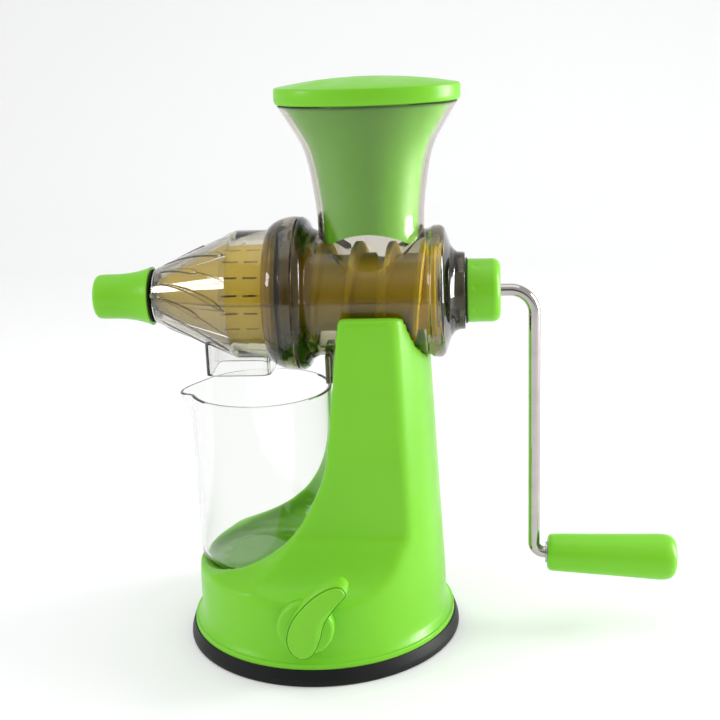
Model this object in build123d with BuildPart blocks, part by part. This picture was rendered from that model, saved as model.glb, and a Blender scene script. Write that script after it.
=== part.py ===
from build123d import *
import os
from math import cos, pi, radians, sin, sqrt

# A hand cranked wheatgrass juicer on a suction foot. Millimetres, +Z up, +X towards the crank,
# -Y towards the suction lever. The origin is the middle of the foot's underside.

# --- Driving dimensions ---------------------------------------------------------------------

# Suction foot
FOOT_OVERHANG = 6.5  # beyond the drum, at the table
FOOT_TOP_OVERHANG = 4.7
FOOT_HEIGHT = 7.6
FOOT_EDGE = 0.8
MEMBRANE_THICKNESS = 2.5
FOOT_COLLAR_HEIGHT = 3.4
FOOT_COLLAR_THICKNESS = 2.4

# Drum of the stand
DRUM_RADIUS = 64.5
DRUM_WALL = 3.2
DRUM_STRAIGHT_TOP = 30.0
DRUM_SHOULDER = 41.0
DRUM_RIM_OVERHANG = 3.9
DRUM_RIM_HEIGHT = 2.2
DRUM_RIM_FLARE = 5.5

# Column of the stand
COLUMN_TOP = 173.5
COLUMN_TOP_RADIUS = 58.2
COLUMN_TOP_HALF_DEPTH = 37.6
COLUMN_FLARE_TOP = 96.0
COLUMN_FLARE_TOP_HALF_DEPTH = 39.6
COLUMN_FLARE_MIDDLE = (43.6, 60.0)
COLUMN_FLARE_FOOT = (54.0, 44.0)
COLUMN_EDGE_ROUNDING = 7.0
COLUMN_FACE_TOP_X = 17.5
COLUMN_FACE_FOOT_X = 9.6
COLUMN_FACE_FOOT_Z = 106.0
COLUMN_WALL = 3.0
SADDLE_FLOOR = 8.0

# Wings that run from the column down to the drum's lip, seen from the front (x, z)
WING_LINE = ((0.0, 79.0), (-10.0, 64.7), (-30.0, 50.4), (-46.5, 44.2))
WING_LIP = (-66.0, 41.3)
WING_SLOPE = 0.47
WING_CREST_HALF_WIDTH = 37.6

# Jug and its pocket
JUG_X = -27.5
JUG_RADIUS = 36.0
JUG_WALL = 1.9
JUG_FLOOR = 2.4
JUG_CORNER = 10.0
JUG_HEIGHT = 93.0
JUG_BEAK_LENGTH = 3.8
JUG_BEAK_RADIUS = 8.0
JUG_BEAK_DEPTH = 17.0
POCKET_FLOOR_Z = 37.6
POCKET_FLOOR_THICKNESS = 1.7
JUG_CLEARANCE = 0.9
POCKET_CORNER_ROUNDING = 18.0

# Barrel and hopper, one clear moulding
AXIS_HEIGHT = 179.0
BARREL_RADIUS = 31.0
BARREL_BORE = 26.6
BARREL_FRONT = -10.0
BARREL_REAR = 65.0
BARREL_FLANGE_FRONT = -3.9
BARREL_FLANGE_RADIUS = 38.2
REAR_FLANGE_RADIUS = 32.6
COLLAR_RADIUS = 19.2
COLLAR_REAR = 77.3
SADDLE_CLEARANCE = 0.3
HOPPER_X = 31.8
HOPPER_WALL = 2.0
HOPPER_BOTTOM = 184.0
HOPPER_TOP = 271.2
# Height, half length and half depth of the hopper's outside
HOPPER_SECTIONS = (
    (HOPPER_BOTTOM, 26.0, 27.0),
    (213.0, 26.0, 27.0),
    (229.0, 27.2, 27.4),
    (245.0, 29.8, 28.2),
    (257.0, 34.5, 29.2),
    (HOPPER_TOP, 43.4, 30.8),
)
TONGUE_X = 7.0
TONGUE_THICKNESS = 3.4
TONGUE_WIDTH = 18.0
TONGUE_BOTTOM = 134.4
KEEL_X = 34.0
KEEL_LENGTH = 30.0
KEEL_WIDTH = 11.0
KEEL_BOTTOM = 143.6
KEEL_CLEARANCE = 0.25
BODY_SCREW_SPACING = 18.0
BODY_SCREW_RADIUS = 1.5
BODY_SCREW_HEAD_RADIUS = 3.1
BODY_SCREW_HEAD_HEIGHT = 2.2
BODY_SCREW_LENGTH = 8.4

# Bayonet between the barrel's spigot and the locking ring
SPIGOT_RADIUS = 33.6
LUG_COUNT = 4
LUG_ANGLE = 38.0
LUG_HEIGHT = 2.4
LUG_THICKNESS = 2.2
BAYONET_GAP = 0.3
RING_FRONT = -19.2
RING_RADIUS = 38.4
RING_LIP_THICKNESS = 3.4

# Front housing
HOUSING_RADIUS = 32.0
HOUSING_WALL = 2.0
HOUSING_SHOULDER_X = -35.5
HOUSING_NOSE_RADIUS = 13.6
HOUSING_FLANGE_THICKNESS = 3.3
GASKET_THICKNESS = 2.2
GASKET_WIDTH = 4.2
NECK_RADIUS = 9.6
NECK_BORE = 7.4
NECK_FRONT = -96.0

# Strainer
STRAINER_RADIUS = 25.0
STRAINER_WALL = 1.4
STRAINER_SHOULDER_X = -41.0
STRAINER_NOSE_X = -75.5
STRAINER_NOSE_RADIUS = 8.4
STRAINER_FLANGE_THICKNESS = 2.0
STRAINER_SLOT_WIDTH = 1.0
STRAINER_SLOT_LENGTH = 7.0
STRAINER_SLOT_COUNT = 18
STRAINER_SLOT_ROWS = (-36.0, -26.0)

# Spout
SPOUT_X = -36.2
SPOUT_LENGTH = 32.8
SPOUT_WIDTH = 31.0
SPOUT_BOTTOM = 140.3
SPOUT_WALL = 1.7
SPOUT_CORNER = 5.0
SPOUT_PORT_MARGIN = 2.5

# Pulp outlet
CAP_FRONT = -108.8
CAP_REAR = -79.8
CAP_RADIUS = 11.2
CAP_MOUTH_RADIUS = 14.7
CAP_WAIST_X = -97.0
CAP_HOLE = 4.6
CAP_THREAD_CLEARANCE = 0.35
CAP_LAND = 3.4
NOZZLE_SEAL_THICKNESS = 0.9
NOZZLE_SEAL_RADIUS = 13.4

# Feed screw
FLIGHT_RADIUS = 25.2
SCREW_CORE_RADIUS = 18.9
SCREW_PITCH = 16.7
SCREW_REAR = 63.4
SCREW_CONE_X = -41.0
SCREW_TIP_X = -78.0
SCREW_TIP_RADIUS = 4.6
SCREW_BOSS_RADIUS = 22.4
SCREW_BOSS_LENGTH = 3.4
FLIGHT_CREST_ANGLE = 22.0
FLIGHT_ROOT_ANGLE = 62.0
FLIGHT_HEEL_RADIUS = 12.0
FLIGHT_TIP_CLEARANCE = 0.6
FLIGHT_PHASE = 240.4

# Drive
THRUST_WASHER_THICKNESS = 1.2
THRUST_WASHER_RADIUS = 18.0
SHAFT_RADIUS = 6.0
SHAFT_SQUARE = 8.0
SHAFT_FRONT = 40.0
SHAFT_KEY_LENGTH = 8.6
BUSH_RADIUS = 9.5
RUNNING_CLEARANCE = 0.06
SEAL_THICKNESS = 0.7
SEAL_RADIUS = 16.2
NUT_RADIUS = 15.7
NUT_LENGTH = 16.2
NUT_ROUNDING = 3.6
NUT_FLUTES = 8
NUT_FLUTE_RADIUS = 2.2
NUT_FLUTE_DEPTH = 0.5
NUT_FLUTE_START = 2.6
NUT_FLUTE_PHASE = 17.0

# Crank rod and grip
ROD_RADIUS = 3.0
ROD_X = 111.0
ROD_FOOT_X = 110.4
ROD_FOOT_Z = 40.2
ROD_TOP_BEND = 12.0
ROD_FOOT_BEND = 5.6
GRIP_DROOP = 2.4
GRIP_START = 6.8
GRIP_LENGTH = 65.5
GRIP_START_RADIUS = 9.4
GRIP_END_RADIUS = 11.8
GRIP_NOSE_ROUNDING = 5.5
GRIP_EDGE_ROUNDING = 1.2
GRIP_BORE_CLEARANCE = 0.09
GRIP_WASHER_THICKNESS = 0.8
GRIP_WASHER_RADIUS = 5.4
GRIP_CHAMBER_START = 48.0
GRIP_CHAMBER_LENGTH = 8.0
GRIP_CHAMBER_RADIUS = 5.6
CLIP_THICKNESS = 1.2

# Suction lever and lift
LEVER_AXIS_Z = 31.5
LEVER_SHAFT_RADIUS = 3.3
LEVER_THROW = 1.6
LEVER_TURN = 90.0
CRANK_PIN_RADIUS = 1.6
YOKE_SLACK = 0.15
YOKE_STRAP = 1.3
YOKE_HALF_WIDTH = 4.0
YOKE_SIDE = 2.4
LIFT_PLATE_RADIUS = 30.0
LIFT_PLATE_THICKNESS = 2.0
LEVER_DISC_RADIUS = 13.7
LEVER_STANDOFF = 1.5
LEVER_DISC_THICKNESS = 6.5
LEVER_LEAF_THICKNESS = 8.0
LEVER_ROUNDING = 1.0
LEVER_SEAT_RADIUS = 7.8
LEVER_SEAT_GAP = 0.3
LEVER_SOCKET_SQUARE = 4.2
LEVER_SOCKET_DEPTH = 9.0
LEVER_BUSH_RADIUS = 5.4
LEVER_BUSH_LENGTH = 8.0
WEB_Y = -12.0
WEB_THICKNESS = 3.0
WEB_HALF_WIDTH = 8.0
WEB_DROP = 12.0

# --- Derived values -------------------------------------------------------------------------

FAR = 120.0  # reaches past the whole object where a cut has to go right through
BARREL_SIDE = Plane(origin=(0, 0, AXIS_HEIGHT), x_dir=(1, 0, 0), z_dir=(0, -1, 0))
BARREL_AXIS = Axis((0, 0, AXIS_HEIGHT), (1, 0, 0))
DRUM_CAVITY_RADIUS = DRUM_RADIUS - DRUM_WALL
DRUM_RIM_RADIUS = DRUM_RADIUS + DRUM_RIM_OVERHANG
FOOT_RADIUS = DRUM_RADIUS + FOOT_OVERHANG
FOOT_TOP_RADIUS = DRUM_RADIUS + FOOT_TOP_OVERHANG
POCKET_CEILING_Z = POCKET_FLOOR_Z - POCKET_FLOOR_THICKNESS
JUG_TOP = POCKET_FLOOR_Z + JUG_HEIGHT
SADDLE_RADIUS = BARREL_RADIUS + SADDLE_CLEARANCE
SADDLE_BOTTOM = AXIS_HEIGHT - SADDLE_RADIUS
COLUMN_CAVITY_TOP = min(SADDLE_BOTTOM, KEEL_BOTTOM) - SADDLE_FLOOR / 2
GASKET_FRONT = BARREL_FRONT - GASKET_THICKNESS
HOUSING_FLANGE_FRONT = GASKET_FRONT - HOUSING_FLANGE_THICKNESS
LUG_RADIUS = SPIGOT_RADIUS + LUG_HEIGHT
HOUSING_NOSE_X = CAP_REAR + NOZZLE_SEAL_THICKNESS + RUNNING_CLEARANCE + 1.0
NUT_FRONT = COLLAR_REAR + 2 * RUNNING_CLEARANCE + SEAL_THICKNESS + RUNNING_CLEARANCE
NUT_REAR = NUT_FRONT + NUT_LENGTH
SHAFT_REAR = NUT_FRONT + SHAFT_KEY_LENGTH
LEVER_LIFT = 2 * LEVER_THROW * sin(radians(LEVER_TURN / 2))
PIN_REST_ANGLE = -LEVER_TURN / 2
LEVER_BACK_Y = -DRUM_RADIUS - LEVER_STANDOFF
LEVER_FRONT_Y = LEVER_BACK_Y - LEVER_DISC_THICKNESS
LEVER_SEAT_Y = LEVER_BACK_Y + LEVER_SEAT_GAP
LEAF_FRONT_Y = LEVER_FRONT_Y - LEVER_LEAF_THICKNESS
LEVER_BUSH_INNER_Y = LEVER_SEAT_Y + LEVER_BUSH_LENGTH


# --- Profiles shared by several pieces ------------------------------------------------------

def outline(plane, points):
    """A closed straight-sided face on a plane."""
    with BuildSketch(plane) as sketch:
        with BuildLine():
            Polyline(*points, close=True)
        make_face()
    return sketch.sketch


def front_plane(y):
    """A plane that faces the lever side, with world X across and world Z up."""
    return Plane(origin=(0, y, 0), x_dir=(1, 0, 0), z_dir=(0, -1, 0))


def across_barrel(x):
    """A plane square to the barrel's axis, with world Y across and world Z up."""
    return Plane(origin=(x, 0, AXIS_HEIGHT), x_dir=(0, 1, 0), z_dir=(1, 0, 0))


def disc(plane, radius, centre=(0, 0)):
    """A round face on a plane."""
    with BuildSketch(plane) as sketch:
        with Locations(centre):
            Circle(radius)
    return sketch.sketch


def oval(z, half_length, half_depth):
    """One level section of the hopper, the pusher or the lid."""
    with BuildSketch(Plane.XY.offset(z)) as sketch:
        with Locations((HOPPER_X, 0)):
            Ellipse(half_length, half_depth)
    return sketch.sketch


def sector(plane, inner, outer, middle_angle, width_angle):
    """A piece of a ring, for one lug."""
    start = middle_angle - width_angle / 2
    with BuildSketch(plane) as sketch:
        with BuildLine():
            outside = CenterArc((0, 0), outer, start, width_angle)
            inside = CenterArc((0, 0), inner, start, width_angle)
            Line(outside @ 0, inside @ 0)
            Line(outside @ 1, inside @ 1)
        make_face()
    return sketch.sketch


def lug_angles(phase=0.0):
    """The middle angle of each bayonet lug."""
    return [phase + 360 / LUG_COUNT * turn for turn in range(LUG_COUNT)]


# --- Stand: drum, wings and column in one moulding ------------------------------------------

def wing_profile(plane):
    """Everything above the wings and to the left of the column's inner face."""
    with BuildSketch(plane) as sketch:
        with BuildLine():
            face = Line((COLUMN_FACE_TOP_X, COLUMN_TOP), (COLUMN_FACE_FOOT_X, COLUMN_FACE_FOOT_Z))
            sweep_down = Spline(
                (COLUMN_FACE_FOOT_X, COLUMN_FACE_FOOT_Z), *WING_LINE, WING_LIP,
                tangents=(face % 1, (-1, 0)),
            )
            lip = Line(sweep_down @ 1, (-FAR, WING_LIP[1]))
            left = Line(lip @ 1, (-FAR, COLUMN_TOP + FAR))
            top = Line(left @ 1, (COLUMN_FACE_TOP_X, COLUMN_TOP + FAR))
            Line(top @ 1, face @ 0)
        make_face()
    return sketch.sketch


def flare_profile(side):
    """Everything outside the column's front or back face, seen along the barrel."""
    with BuildSketch(Plane.YZ.offset(-FAR)) as sketch:
        with BuildLine():
            foot = Line((side * FAR, DRUM_SHOULDER), (side * DRUM_RADIUS, DRUM_SHOULDER))
            flare = Spline(
                foot @ 1,
                (side * COLUMN_FLARE_FOOT[0], COLUMN_FLARE_FOOT[1]),
                (side * COLUMN_FLARE_MIDDLE[0], COLUMN_FLARE_MIDDLE[1]),
                (side * COLUMN_FLARE_TOP_HALF_DEPTH, COLUMN_FLARE_TOP),
                tangents=(
                    (-side, 0),
                    (side * (COLUMN_TOP_HALF_DEPTH - COLUMN_FLARE_TOP_HALF_DEPTH),
                     COLUMN_TOP - COLUMN_FLARE_TOP),
                ),
            )
            face = Line(flare @ 1, (side * COLUMN_TOP_HALF_DEPTH, COLUMN_TOP))
            rise = Line(face @ 1, (side * COLUMN_TOP_HALF_DEPTH, COLUMN_TOP + FAR))
            top = Line(rise @ 1, (side * FAR, COLUMN_TOP + FAR))
            Line(top @ 1, foot @ 0)
        make_face()
    return sketch.sketch


POCKET_RADIUS = JUG_RADIUS + JUG_CLEARANCE
POCKET_ARC = JUG_CORNER + JUG_CLEARANCE
POCKET_ARC_MIDDLE = POCKET_ARC * sin(radians(45))
jug_side = Plane(origin=(JUG_X, 0, 0), x_dir=(1, 0, 0), z_dir=(0, -1, 0))
jug_axis = Axis((JUG_X, 0, 0), (0, 0, 1))


def pocket_profile():
    """Half section of the jug's pocket: floor, corner arc and straight wall."""
    arc_x = POCKET_RADIUS - POCKET_ARC
    arc_z = POCKET_FLOOR_Z + JUG_CORNER
    arc_foot_x = arc_x + sqrt(POCKET_ARC ** 2 - JUG_CORNER ** 2)
    with BuildSketch(jug_side) as sketch:
        with BuildLine():
            ThreePointArc(
                (arc_foot_x, POCKET_FLOOR_Z),
                (arc_x + POCKET_ARC_MIDDLE, arc_z - POCKET_ARC_MIDDLE),
                (POCKET_RADIUS, arc_z),
            )
            Polyline(
                (POCKET_RADIUS, arc_z), (POCKET_RADIUS, COLUMN_TOP + FAR), (0, COLUMN_TOP + FAR),
                (0, POCKET_FLOOR_Z), (arc_foot_x, POCKET_FLOOR_Z),
            )
        make_face()
    return sketch.sketch


with BuildPart() as column_hollow:
    revolve(
        outline(Plane.XZ, (
            (0, POCKET_CEILING_Z - 1), (DRUM_RADIUS - COLUMN_WALL, POCKET_CEILING_Z - 1),
            (COLUMN_TOP_RADIUS - COLUMN_WALL, COLUMN_TOP), (0, COLUMN_TOP),
        )),
        axis=Axis.Z,
    )
    cavity_left = COLUMN_FACE_TOP_X + COLUMN_WALL
    cavity_half_depth = COLUMN_TOP_HALF_DEPTH - COLUMN_WALL
    with Locations((cavity_left, 0, POCKET_CEILING_Z - 1)):
        Box(
            FAR, 2 * cavity_half_depth, COLUMN_CAVITY_TOP - POCKET_CEILING_Z + 1,
            align=(Align.MIN, Align.CENTER, Align.MIN), mode=Mode.INTERSECT,
        )
    hollow_corners = column_hollow.edges().filter_by(
        lambda edge: edge.bounding_box().size.Z > COLUMN_CAVITY_TOP / 2 and edge.center().X > 2 * cavity_left - 1)
    fillet(hollow_corners, COLUMN_EDGE_ROUNDING - COLUMN_WALL)

with BuildPart() as stand:
    # Turned drum that narrows upwards into the column
    revolve(
        outline(Plane.XZ, (
            (0, FOOT_HEIGHT), (DRUM_RADIUS, FOOT_HEIGHT), (DRUM_RADIUS, DRUM_STRAIGHT_TOP),
            (COLUMN_TOP_RADIUS, COLUMN_TOP), (0, COLUMN_TOP),
        )),
        axis=Axis.Z,
    )
    # Front and back faces of the column, flaring into the drum's top
    for side in (-1, 1):
        extrude(flare_profile(side), amount=2 * FAR, mode=Mode.SUBTRACT)
    column_corners = [
        edge for edge in stand.edges()
        if edge.bounding_box().min.Z > COLUMN_FLARE_TOP - 1
        and edge.bounding_box().size.Z > COLUMN_TOP - COLUMN_FLARE_TOP - 1
        and edge.center().X > 0
    ]
    fillet(column_corners, COLUMN_EDGE_ROUNDING)
    # Open bay for the jug: straight in the middle, falling away outside the two crests
    extrude(
        wing_profile(front_plane(WING_CREST_HALF_WIDTH)),
        amount=2 * WING_CREST_HALF_WIDTH, mode=Mode.SUBTRACT,
    )
    for side in (-1, 1):
        extrude(
            wing_profile(front_plane(side * WING_CREST_HALF_WIDTH)),
            amount=DRUM_RADIUS, dir=(0, side, -WING_SLOPE), mode=Mode.SUBTRACT,
        )
    # Pocket for the jug, open towards the column
    revolve(pocket_profile(), axis=jug_axis, mode=Mode.SUBTRACT)
    with BuildSketch(Plane.XY.offset(POCKET_FLOOR_Z + JUG_CORNER)):
        with Locations((JUG_X + POCKET_RADIUS / 2, 0)):
            RectangleRounded(POCKET_RADIUS, 2 * POCKET_RADIUS, POCKET_CORNER_ROUNDING * 0.98)
        with Locations((JUG_X + POCKET_RADIUS / 4, 0)):
            Rectangle(POCKET_RADIUS / 2, 2 * POCKET_RADIUS)
    extrude(amount=FAR, mode=Mode.SUBTRACT)
    # Flared rim that sits on the foot
    revolve(
        outline(Plane.XZ, (
            (DRUM_RADIUS - DRUM_WALL / 2, FOOT_HEIGHT), (DRUM_RIM_RADIUS, FOOT_HEIGHT),
            (DRUM_RIM_RADIUS, FOOT_HEIGHT + DRUM_RIM_HEIGHT),
            (DRUM_RADIUS + 0.9, FOOT_HEIGHT + DRUM_RIM_FLARE),
            (DRUM_RADIUS, FOOT_HEIGHT + 2 * DRUM_RIM_FLARE),
            (DRUM_RADIUS - DRUM_WALL / 2, FOOT_HEIGHT + 2 * DRUM_RIM_FLARE),
        )),
        axis=Axis.Z,
    )
    # Cradle for the barrel and the slot for its keel
    extrude(disc(across_barrel(-FAR), SADDLE_RADIUS), amount=2 * FAR, mode=Mode.SUBTRACT)
    with Locations((KEEL_X, 0, (KEEL_BOTTOM - KEEL_CLEARANCE + AXIS_HEIGHT) / 2)):
        Box(
            KEEL_LENGTH + 2 * KEEL_CLEARANCE, KEEL_WIDTH + 2 * KEEL_CLEARANCE,
            AXIS_HEIGHT - KEEL_BOTTOM + KEEL_CLEARANCE, mode=Mode.SUBTRACT,
        )
    # Hollow drum and hollow column
    extrude(
        disc(Plane.XY.offset(FOOT_HEIGHT - 1), DRUM_CAVITY_RADIUS),
        amount=POCKET_CEILING_Z - FOOT_HEIGHT + 1, mode=Mode.SUBTRACT,
    )
    add(column_hollow.part, mode=Mode.SUBTRACT)
    # Seat, hole and inner web for the lever's shaft
    extrude(
        disc(front_plane(LEVER_SEAT_Y), LEVER_SEAT_RADIUS, (0, LEVER_AXIS_Z)),
        amount=-(LEVER_BUSH_LENGTH - FOOT_EDGE),
    )
    with Locations((0, WEB_Y, POCKET_CEILING_Z - WEB_DROP / 2)):
        Box(2 * WEB_HALF_WIDTH, WEB_THICKNESS, WEB_DROP)
    extrude(
        disc(front_plane(LEVER_SEAT_Y - 1), LEVER_BUSH_RADIUS, (0, LEVER_AXIS_Z)),
        amount=-(LEVER_BUSH_LENGTH + 1), mode=Mode.SUBTRACT,
    )
    extrude(
        disc(front_plane(WEB_Y - WEB_THICKNESS), LEVER_SHAFT_RADIUS + RUNNING_CLEARANCE,
             (0, LEVER_AXIS_Z)),
        amount=-2 * WEB_THICKNESS, mode=Mode.SUBTRACT,
    )
    # Holes for the two screws that hold the barrel
    with Locations((KEEL_X, 0, COLUMN_CAVITY_TOP)):
        with GridLocations(BODY_SCREW_SPACING, 0, 2, 1):
            Cylinder(
                BODY_SCREW_RADIUS + KEEL_CLEARANCE, SADDLE_FLOOR,
                align=(Align.CENTER, Align.CENTER, Align.CENTER), mode=Mode.SUBTRACT,
            )
stand.part.label = "stand"

# --- Rubber foot ----------------------------------------------------------------------------

COLLAR_OUTER = DRUM_CAVITY_RADIUS - SADDLE_CLEARANCE
with BuildPart() as suction_cup:
    revolve(
        outline(Plane.XZ, (
            (0, 0), (FOOT_RADIUS - FOOT_EDGE, 0), (FOOT_RADIUS, FOOT_EDGE),
            (FOOT_RADIUS, FOOT_HEIGHT / 2), (FOOT_TOP_RADIUS, FOOT_HEIGHT),
            (COLLAR_OUTER, FOOT_HEIGHT), (COLLAR_OUTER, FOOT_HEIGHT + FOOT_COLLAR_HEIGHT),
            (COLLAR_OUTER - FOOT_COLLAR_THICKNESS, FOOT_HEIGHT + FOOT_COLLAR_HEIGHT),
            (COLLAR_OUTER - FOOT_COLLAR_THICKNESS, FOOT_HEIGHT / 2),
            (COLLAR_OUTER - FOOT_HEIGHT, MEMBRANE_THICKNESS), (0, MEMBRANE_THICKNESS),
        )),
        axis=Axis.Z,
    )
suction_cup.part.label = "suction_cup"

# --- Lift plate with its yoke ---------------------------------------------------------------

pin_rest_z = LEVER_AXIS_Z + LEVER_THROW * sin(radians(PIN_REST_ANGLE))
slot_half_height = CRANK_PIN_RADIUS + YOKE_SLACK
slot_left = LEVER_THROW * cos(radians(PIN_REST_ANGLE)) - CRANK_PIN_RADIUS - 2 * YOKE_SLACK
slot_right = LEVER_THROW + CRANK_PIN_RADIUS + 2 * YOKE_SLACK
plate_top = MEMBRANE_THICKNESS + LIFT_PLATE_THICKNESS
with BuildPart() as suction_plate:
    extrude(disc(Plane.XY.offset(MEMBRANE_THICKNESS), LIFT_PLATE_RADIUS), amount=LIFT_PLATE_THICKNESS)
    extrude(
        outline(front_plane(YOKE_HALF_WIDTH), (
            (slot_left - YOKE_SIDE, plate_top), (slot_right + YOKE_SIDE, plate_top),
            (slot_right + YOKE_SIDE, pin_rest_z + slot_half_height + YOKE_STRAP),
            (slot_left - YOKE_SIDE, pin_rest_z + slot_half_height + YOKE_STRAP),
        )),
        amount=2 * YOKE_HALF_WIDTH,
    )
    extrude(
        outline(front_plane(YOKE_HALF_WIDTH + 1), (
            (slot_left, pin_rest_z - slot_half_height), (slot_right, pin_rest_z - slot_half_height),
            (slot_right, pin_rest_z + slot_half_height), (slot_left, pin_rest_z + slot_half_height),
        )),
        amount=2 * YOKE_HALF_WIDTH + 2, mode=Mode.SUBTRACT,
    )
suction_plate.part.label = "suction_plate"

# --- Suction lever, its shaft, bush and clip ------------------------------------------------

# Leaf seen from the front, clockwise from the left of its round foot (x, z)
LEAF_POINTS = (
    (-8.2, 29.6), (-4.9, 39.6), (3.4, 49.4), (12.2, 55.4), (18.6, 56.4), (21.2, 52.2), (16.0, 45.8),
    (10.6, 37.6), (7.9, 28.4), (4.2, 21.4), (-1.2, 18.9), (-6.4, 22.4),
)


def leaf_profile(plane):
    """Leaf shaped grip of the lever."""
    with BuildSketch(plane) as sketch:
        with BuildLine():
            Spline(*LEAF_POINTS, periodic=True)
        make_face()
    return sketch.sketch


with BuildPart() as lever:
    extrude(disc(front_plane(LEVER_BACK_Y), LEVER_DISC_RADIUS, (0, LEVER_AXIS_Z)),
            amount=LEVER_DISC_THICKNESS)
    fillet(lever.edges().group_by(Axis.Y)[0], LEVER_ROUNDING)
    extrude(leaf_profile(front_plane(LEVER_FRONT_Y + LEVER_ROUNDING)),
            amount=LEVER_LEAF_THICKNESS + LEVER_ROUNDING)
    fillet(lever.edges().group_by(Axis.Y)[0], LEVER_ROUNDING)
    with BuildSketch(front_plane(LEVER_BACK_Y)):
        with Locations((0, LEVER_AXIS_Z)):
            Rectangle(LEVER_SOCKET_SQUARE, LEVER_SOCKET_SQUARE)
    extrude(amount=LEVER_SOCKET_DEPTH, mode=Mode.SUBTRACT)
lever.part.label = "lever"

CLIP_GROOVE_DEPTH = 0.9
PIN_LENGTH = 2 * (YOKE_HALF_WIDTH + YOKE_SLACK)
SHAFT_INNER_Y = -YOKE_HALF_WIDTH - 4 * YOKE_SLACK
CLIP_Y = LEVER_BUSH_INNER_Y + YOKE_SLACK
with BuildPart() as lever_shaft:
    with BuildSketch(front_plane(LEVER_BACK_Y - LEVER_SOCKET_DEPTH + YOKE_SLACK)):
        with Locations((0, LEVER_AXIS_Z)):
            Rectangle(LEVER_SOCKET_SQUARE, LEVER_SOCKET_SQUARE)
    extrude(amount=-LEVER_SOCKET_DEPTH - YOKE_SLACK)
    extrude(disc(front_plane(LEVER_BACK_Y + YOKE_SLACK), LEVER_SHAFT_RADIUS, (0, LEVER_AXIS_Z)),
            amount=-(SHAFT_INNER_Y - LEVER_BACK_Y - YOKE_SLACK))
    with BuildSketch(front_plane(CLIP_Y)):
        with Locations((0, LEVER_AXIS_Z)):
            Circle(LEVER_SHAFT_RADIUS + 1)
            Circle(LEVER_SHAFT_RADIUS - CLIP_GROOVE_DEPTH, mode=Mode.SUBTRACT)
    extrude(amount=-CLIP_THICKNESS, mode=Mode.SUBTRACT)
    pin_centre = (
        LEVER_THROW * cos(radians(PIN_REST_ANGLE)),
        LEVER_AXIS_Z + LEVER_THROW * sin(radians(PIN_REST_ANGLE)),
    )
    extrude(disc(front_plane(SHAFT_INNER_Y), CRANK_PIN_RADIUS, pin_centre),
            amount=-(PIN_LENGTH + 4 * YOKE_SLACK))
lever_shaft.part.label = "lever_shaft"

with BuildPart() as lever_bush:
    with BuildSketch(front_plane(LEVER_SEAT_Y)):
        with Locations((0, LEVER_AXIS_Z)):
            Circle(LEVER_BUSH_RADIUS)
            Circle(LEVER_SHAFT_RADIUS + RUNNING_CLEARANCE, mode=Mode.SUBTRACT)
    extrude(amount=-LEVER_BUSH_LENGTH)
lever_bush.part.label = "lever_bush"

with BuildPart() as lever_clip:
    with BuildSketch(front_plane(CLIP_Y)):
        with Locations((0, LEVER_AXIS_Z)):
            Circle(LEVER_SHAFT_RADIUS + CLIP_GROOVE_DEPTH)
            Circle(LEVER_SHAFT_RADIUS - CLIP_GROOVE_DEPTH, mode=Mode.SUBTRACT)
        with Locations((LEVER_SHAFT_RADIUS, LEVER_AXIS_Z)):
            Rectangle(2 * CLIP_GROOVE_DEPTH + 1, LEVER_SHAFT_RADIUS, mode=Mode.SUBTRACT)
    extrude(amount=-CLIP_THICKNESS)
lever_clip.part.label = "lever_clip"

# --- Barrel and hopper ----------------------------------------------------------------------

BARREL_OUTSIDE = (
    (BARREL_FRONT, 0), (BARREL_FRONT, SPIGOT_RADIUS), (BARREL_FLANGE_FRONT, SPIGOT_RADIUS),
    (BARREL_FLANGE_FRONT, BARREL_FLANGE_RADIUS), (BARREL_FLANGE_FRONT + 1.6, BARREL_FLANGE_RADIUS - 0.2),
    (BARREL_FLANGE_FRONT + 3.6, BARREL_FLANGE_RADIUS - 1.9), (BARREL_FLANGE_FRONT + 5.4, BARREL_RADIUS + 1.7),
    (BARREL_FLANGE_FRONT + 8.9, BARREL_RADIUS), (BARREL_REAR - 5.2, BARREL_RADIUS),
    (BARREL_REAR - 4.0, REAR_FLANGE_RADIUS - 0.5), (BARREL_REAR - 3.0, REAR_FLANGE_RADIUS),
    (BARREL_REAR + 0.6, REAR_FLANGE_RADIUS), (BARREL_REAR + 2.0, REAR_FLANGE_RADIUS - 1.2),
    (BARREL_REAR + 3.2, REAR_FLANGE_RADIUS - 4.6), (BARREL_REAR + 5.0, COLLAR_RADIUS + 4.2),
    (BARREL_REAR + 7.2, COLLAR_RADIUS + 1.0), (BARREL_REAR + 8.8, COLLAR_RADIUS),
    (COLLAR_REAR - 0.6, COLLAR_RADIUS - 0.4), (COLLAR_REAR, COLLAR_RADIUS - 1.0), (COLLAR_REAR, 0),
)
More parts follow.
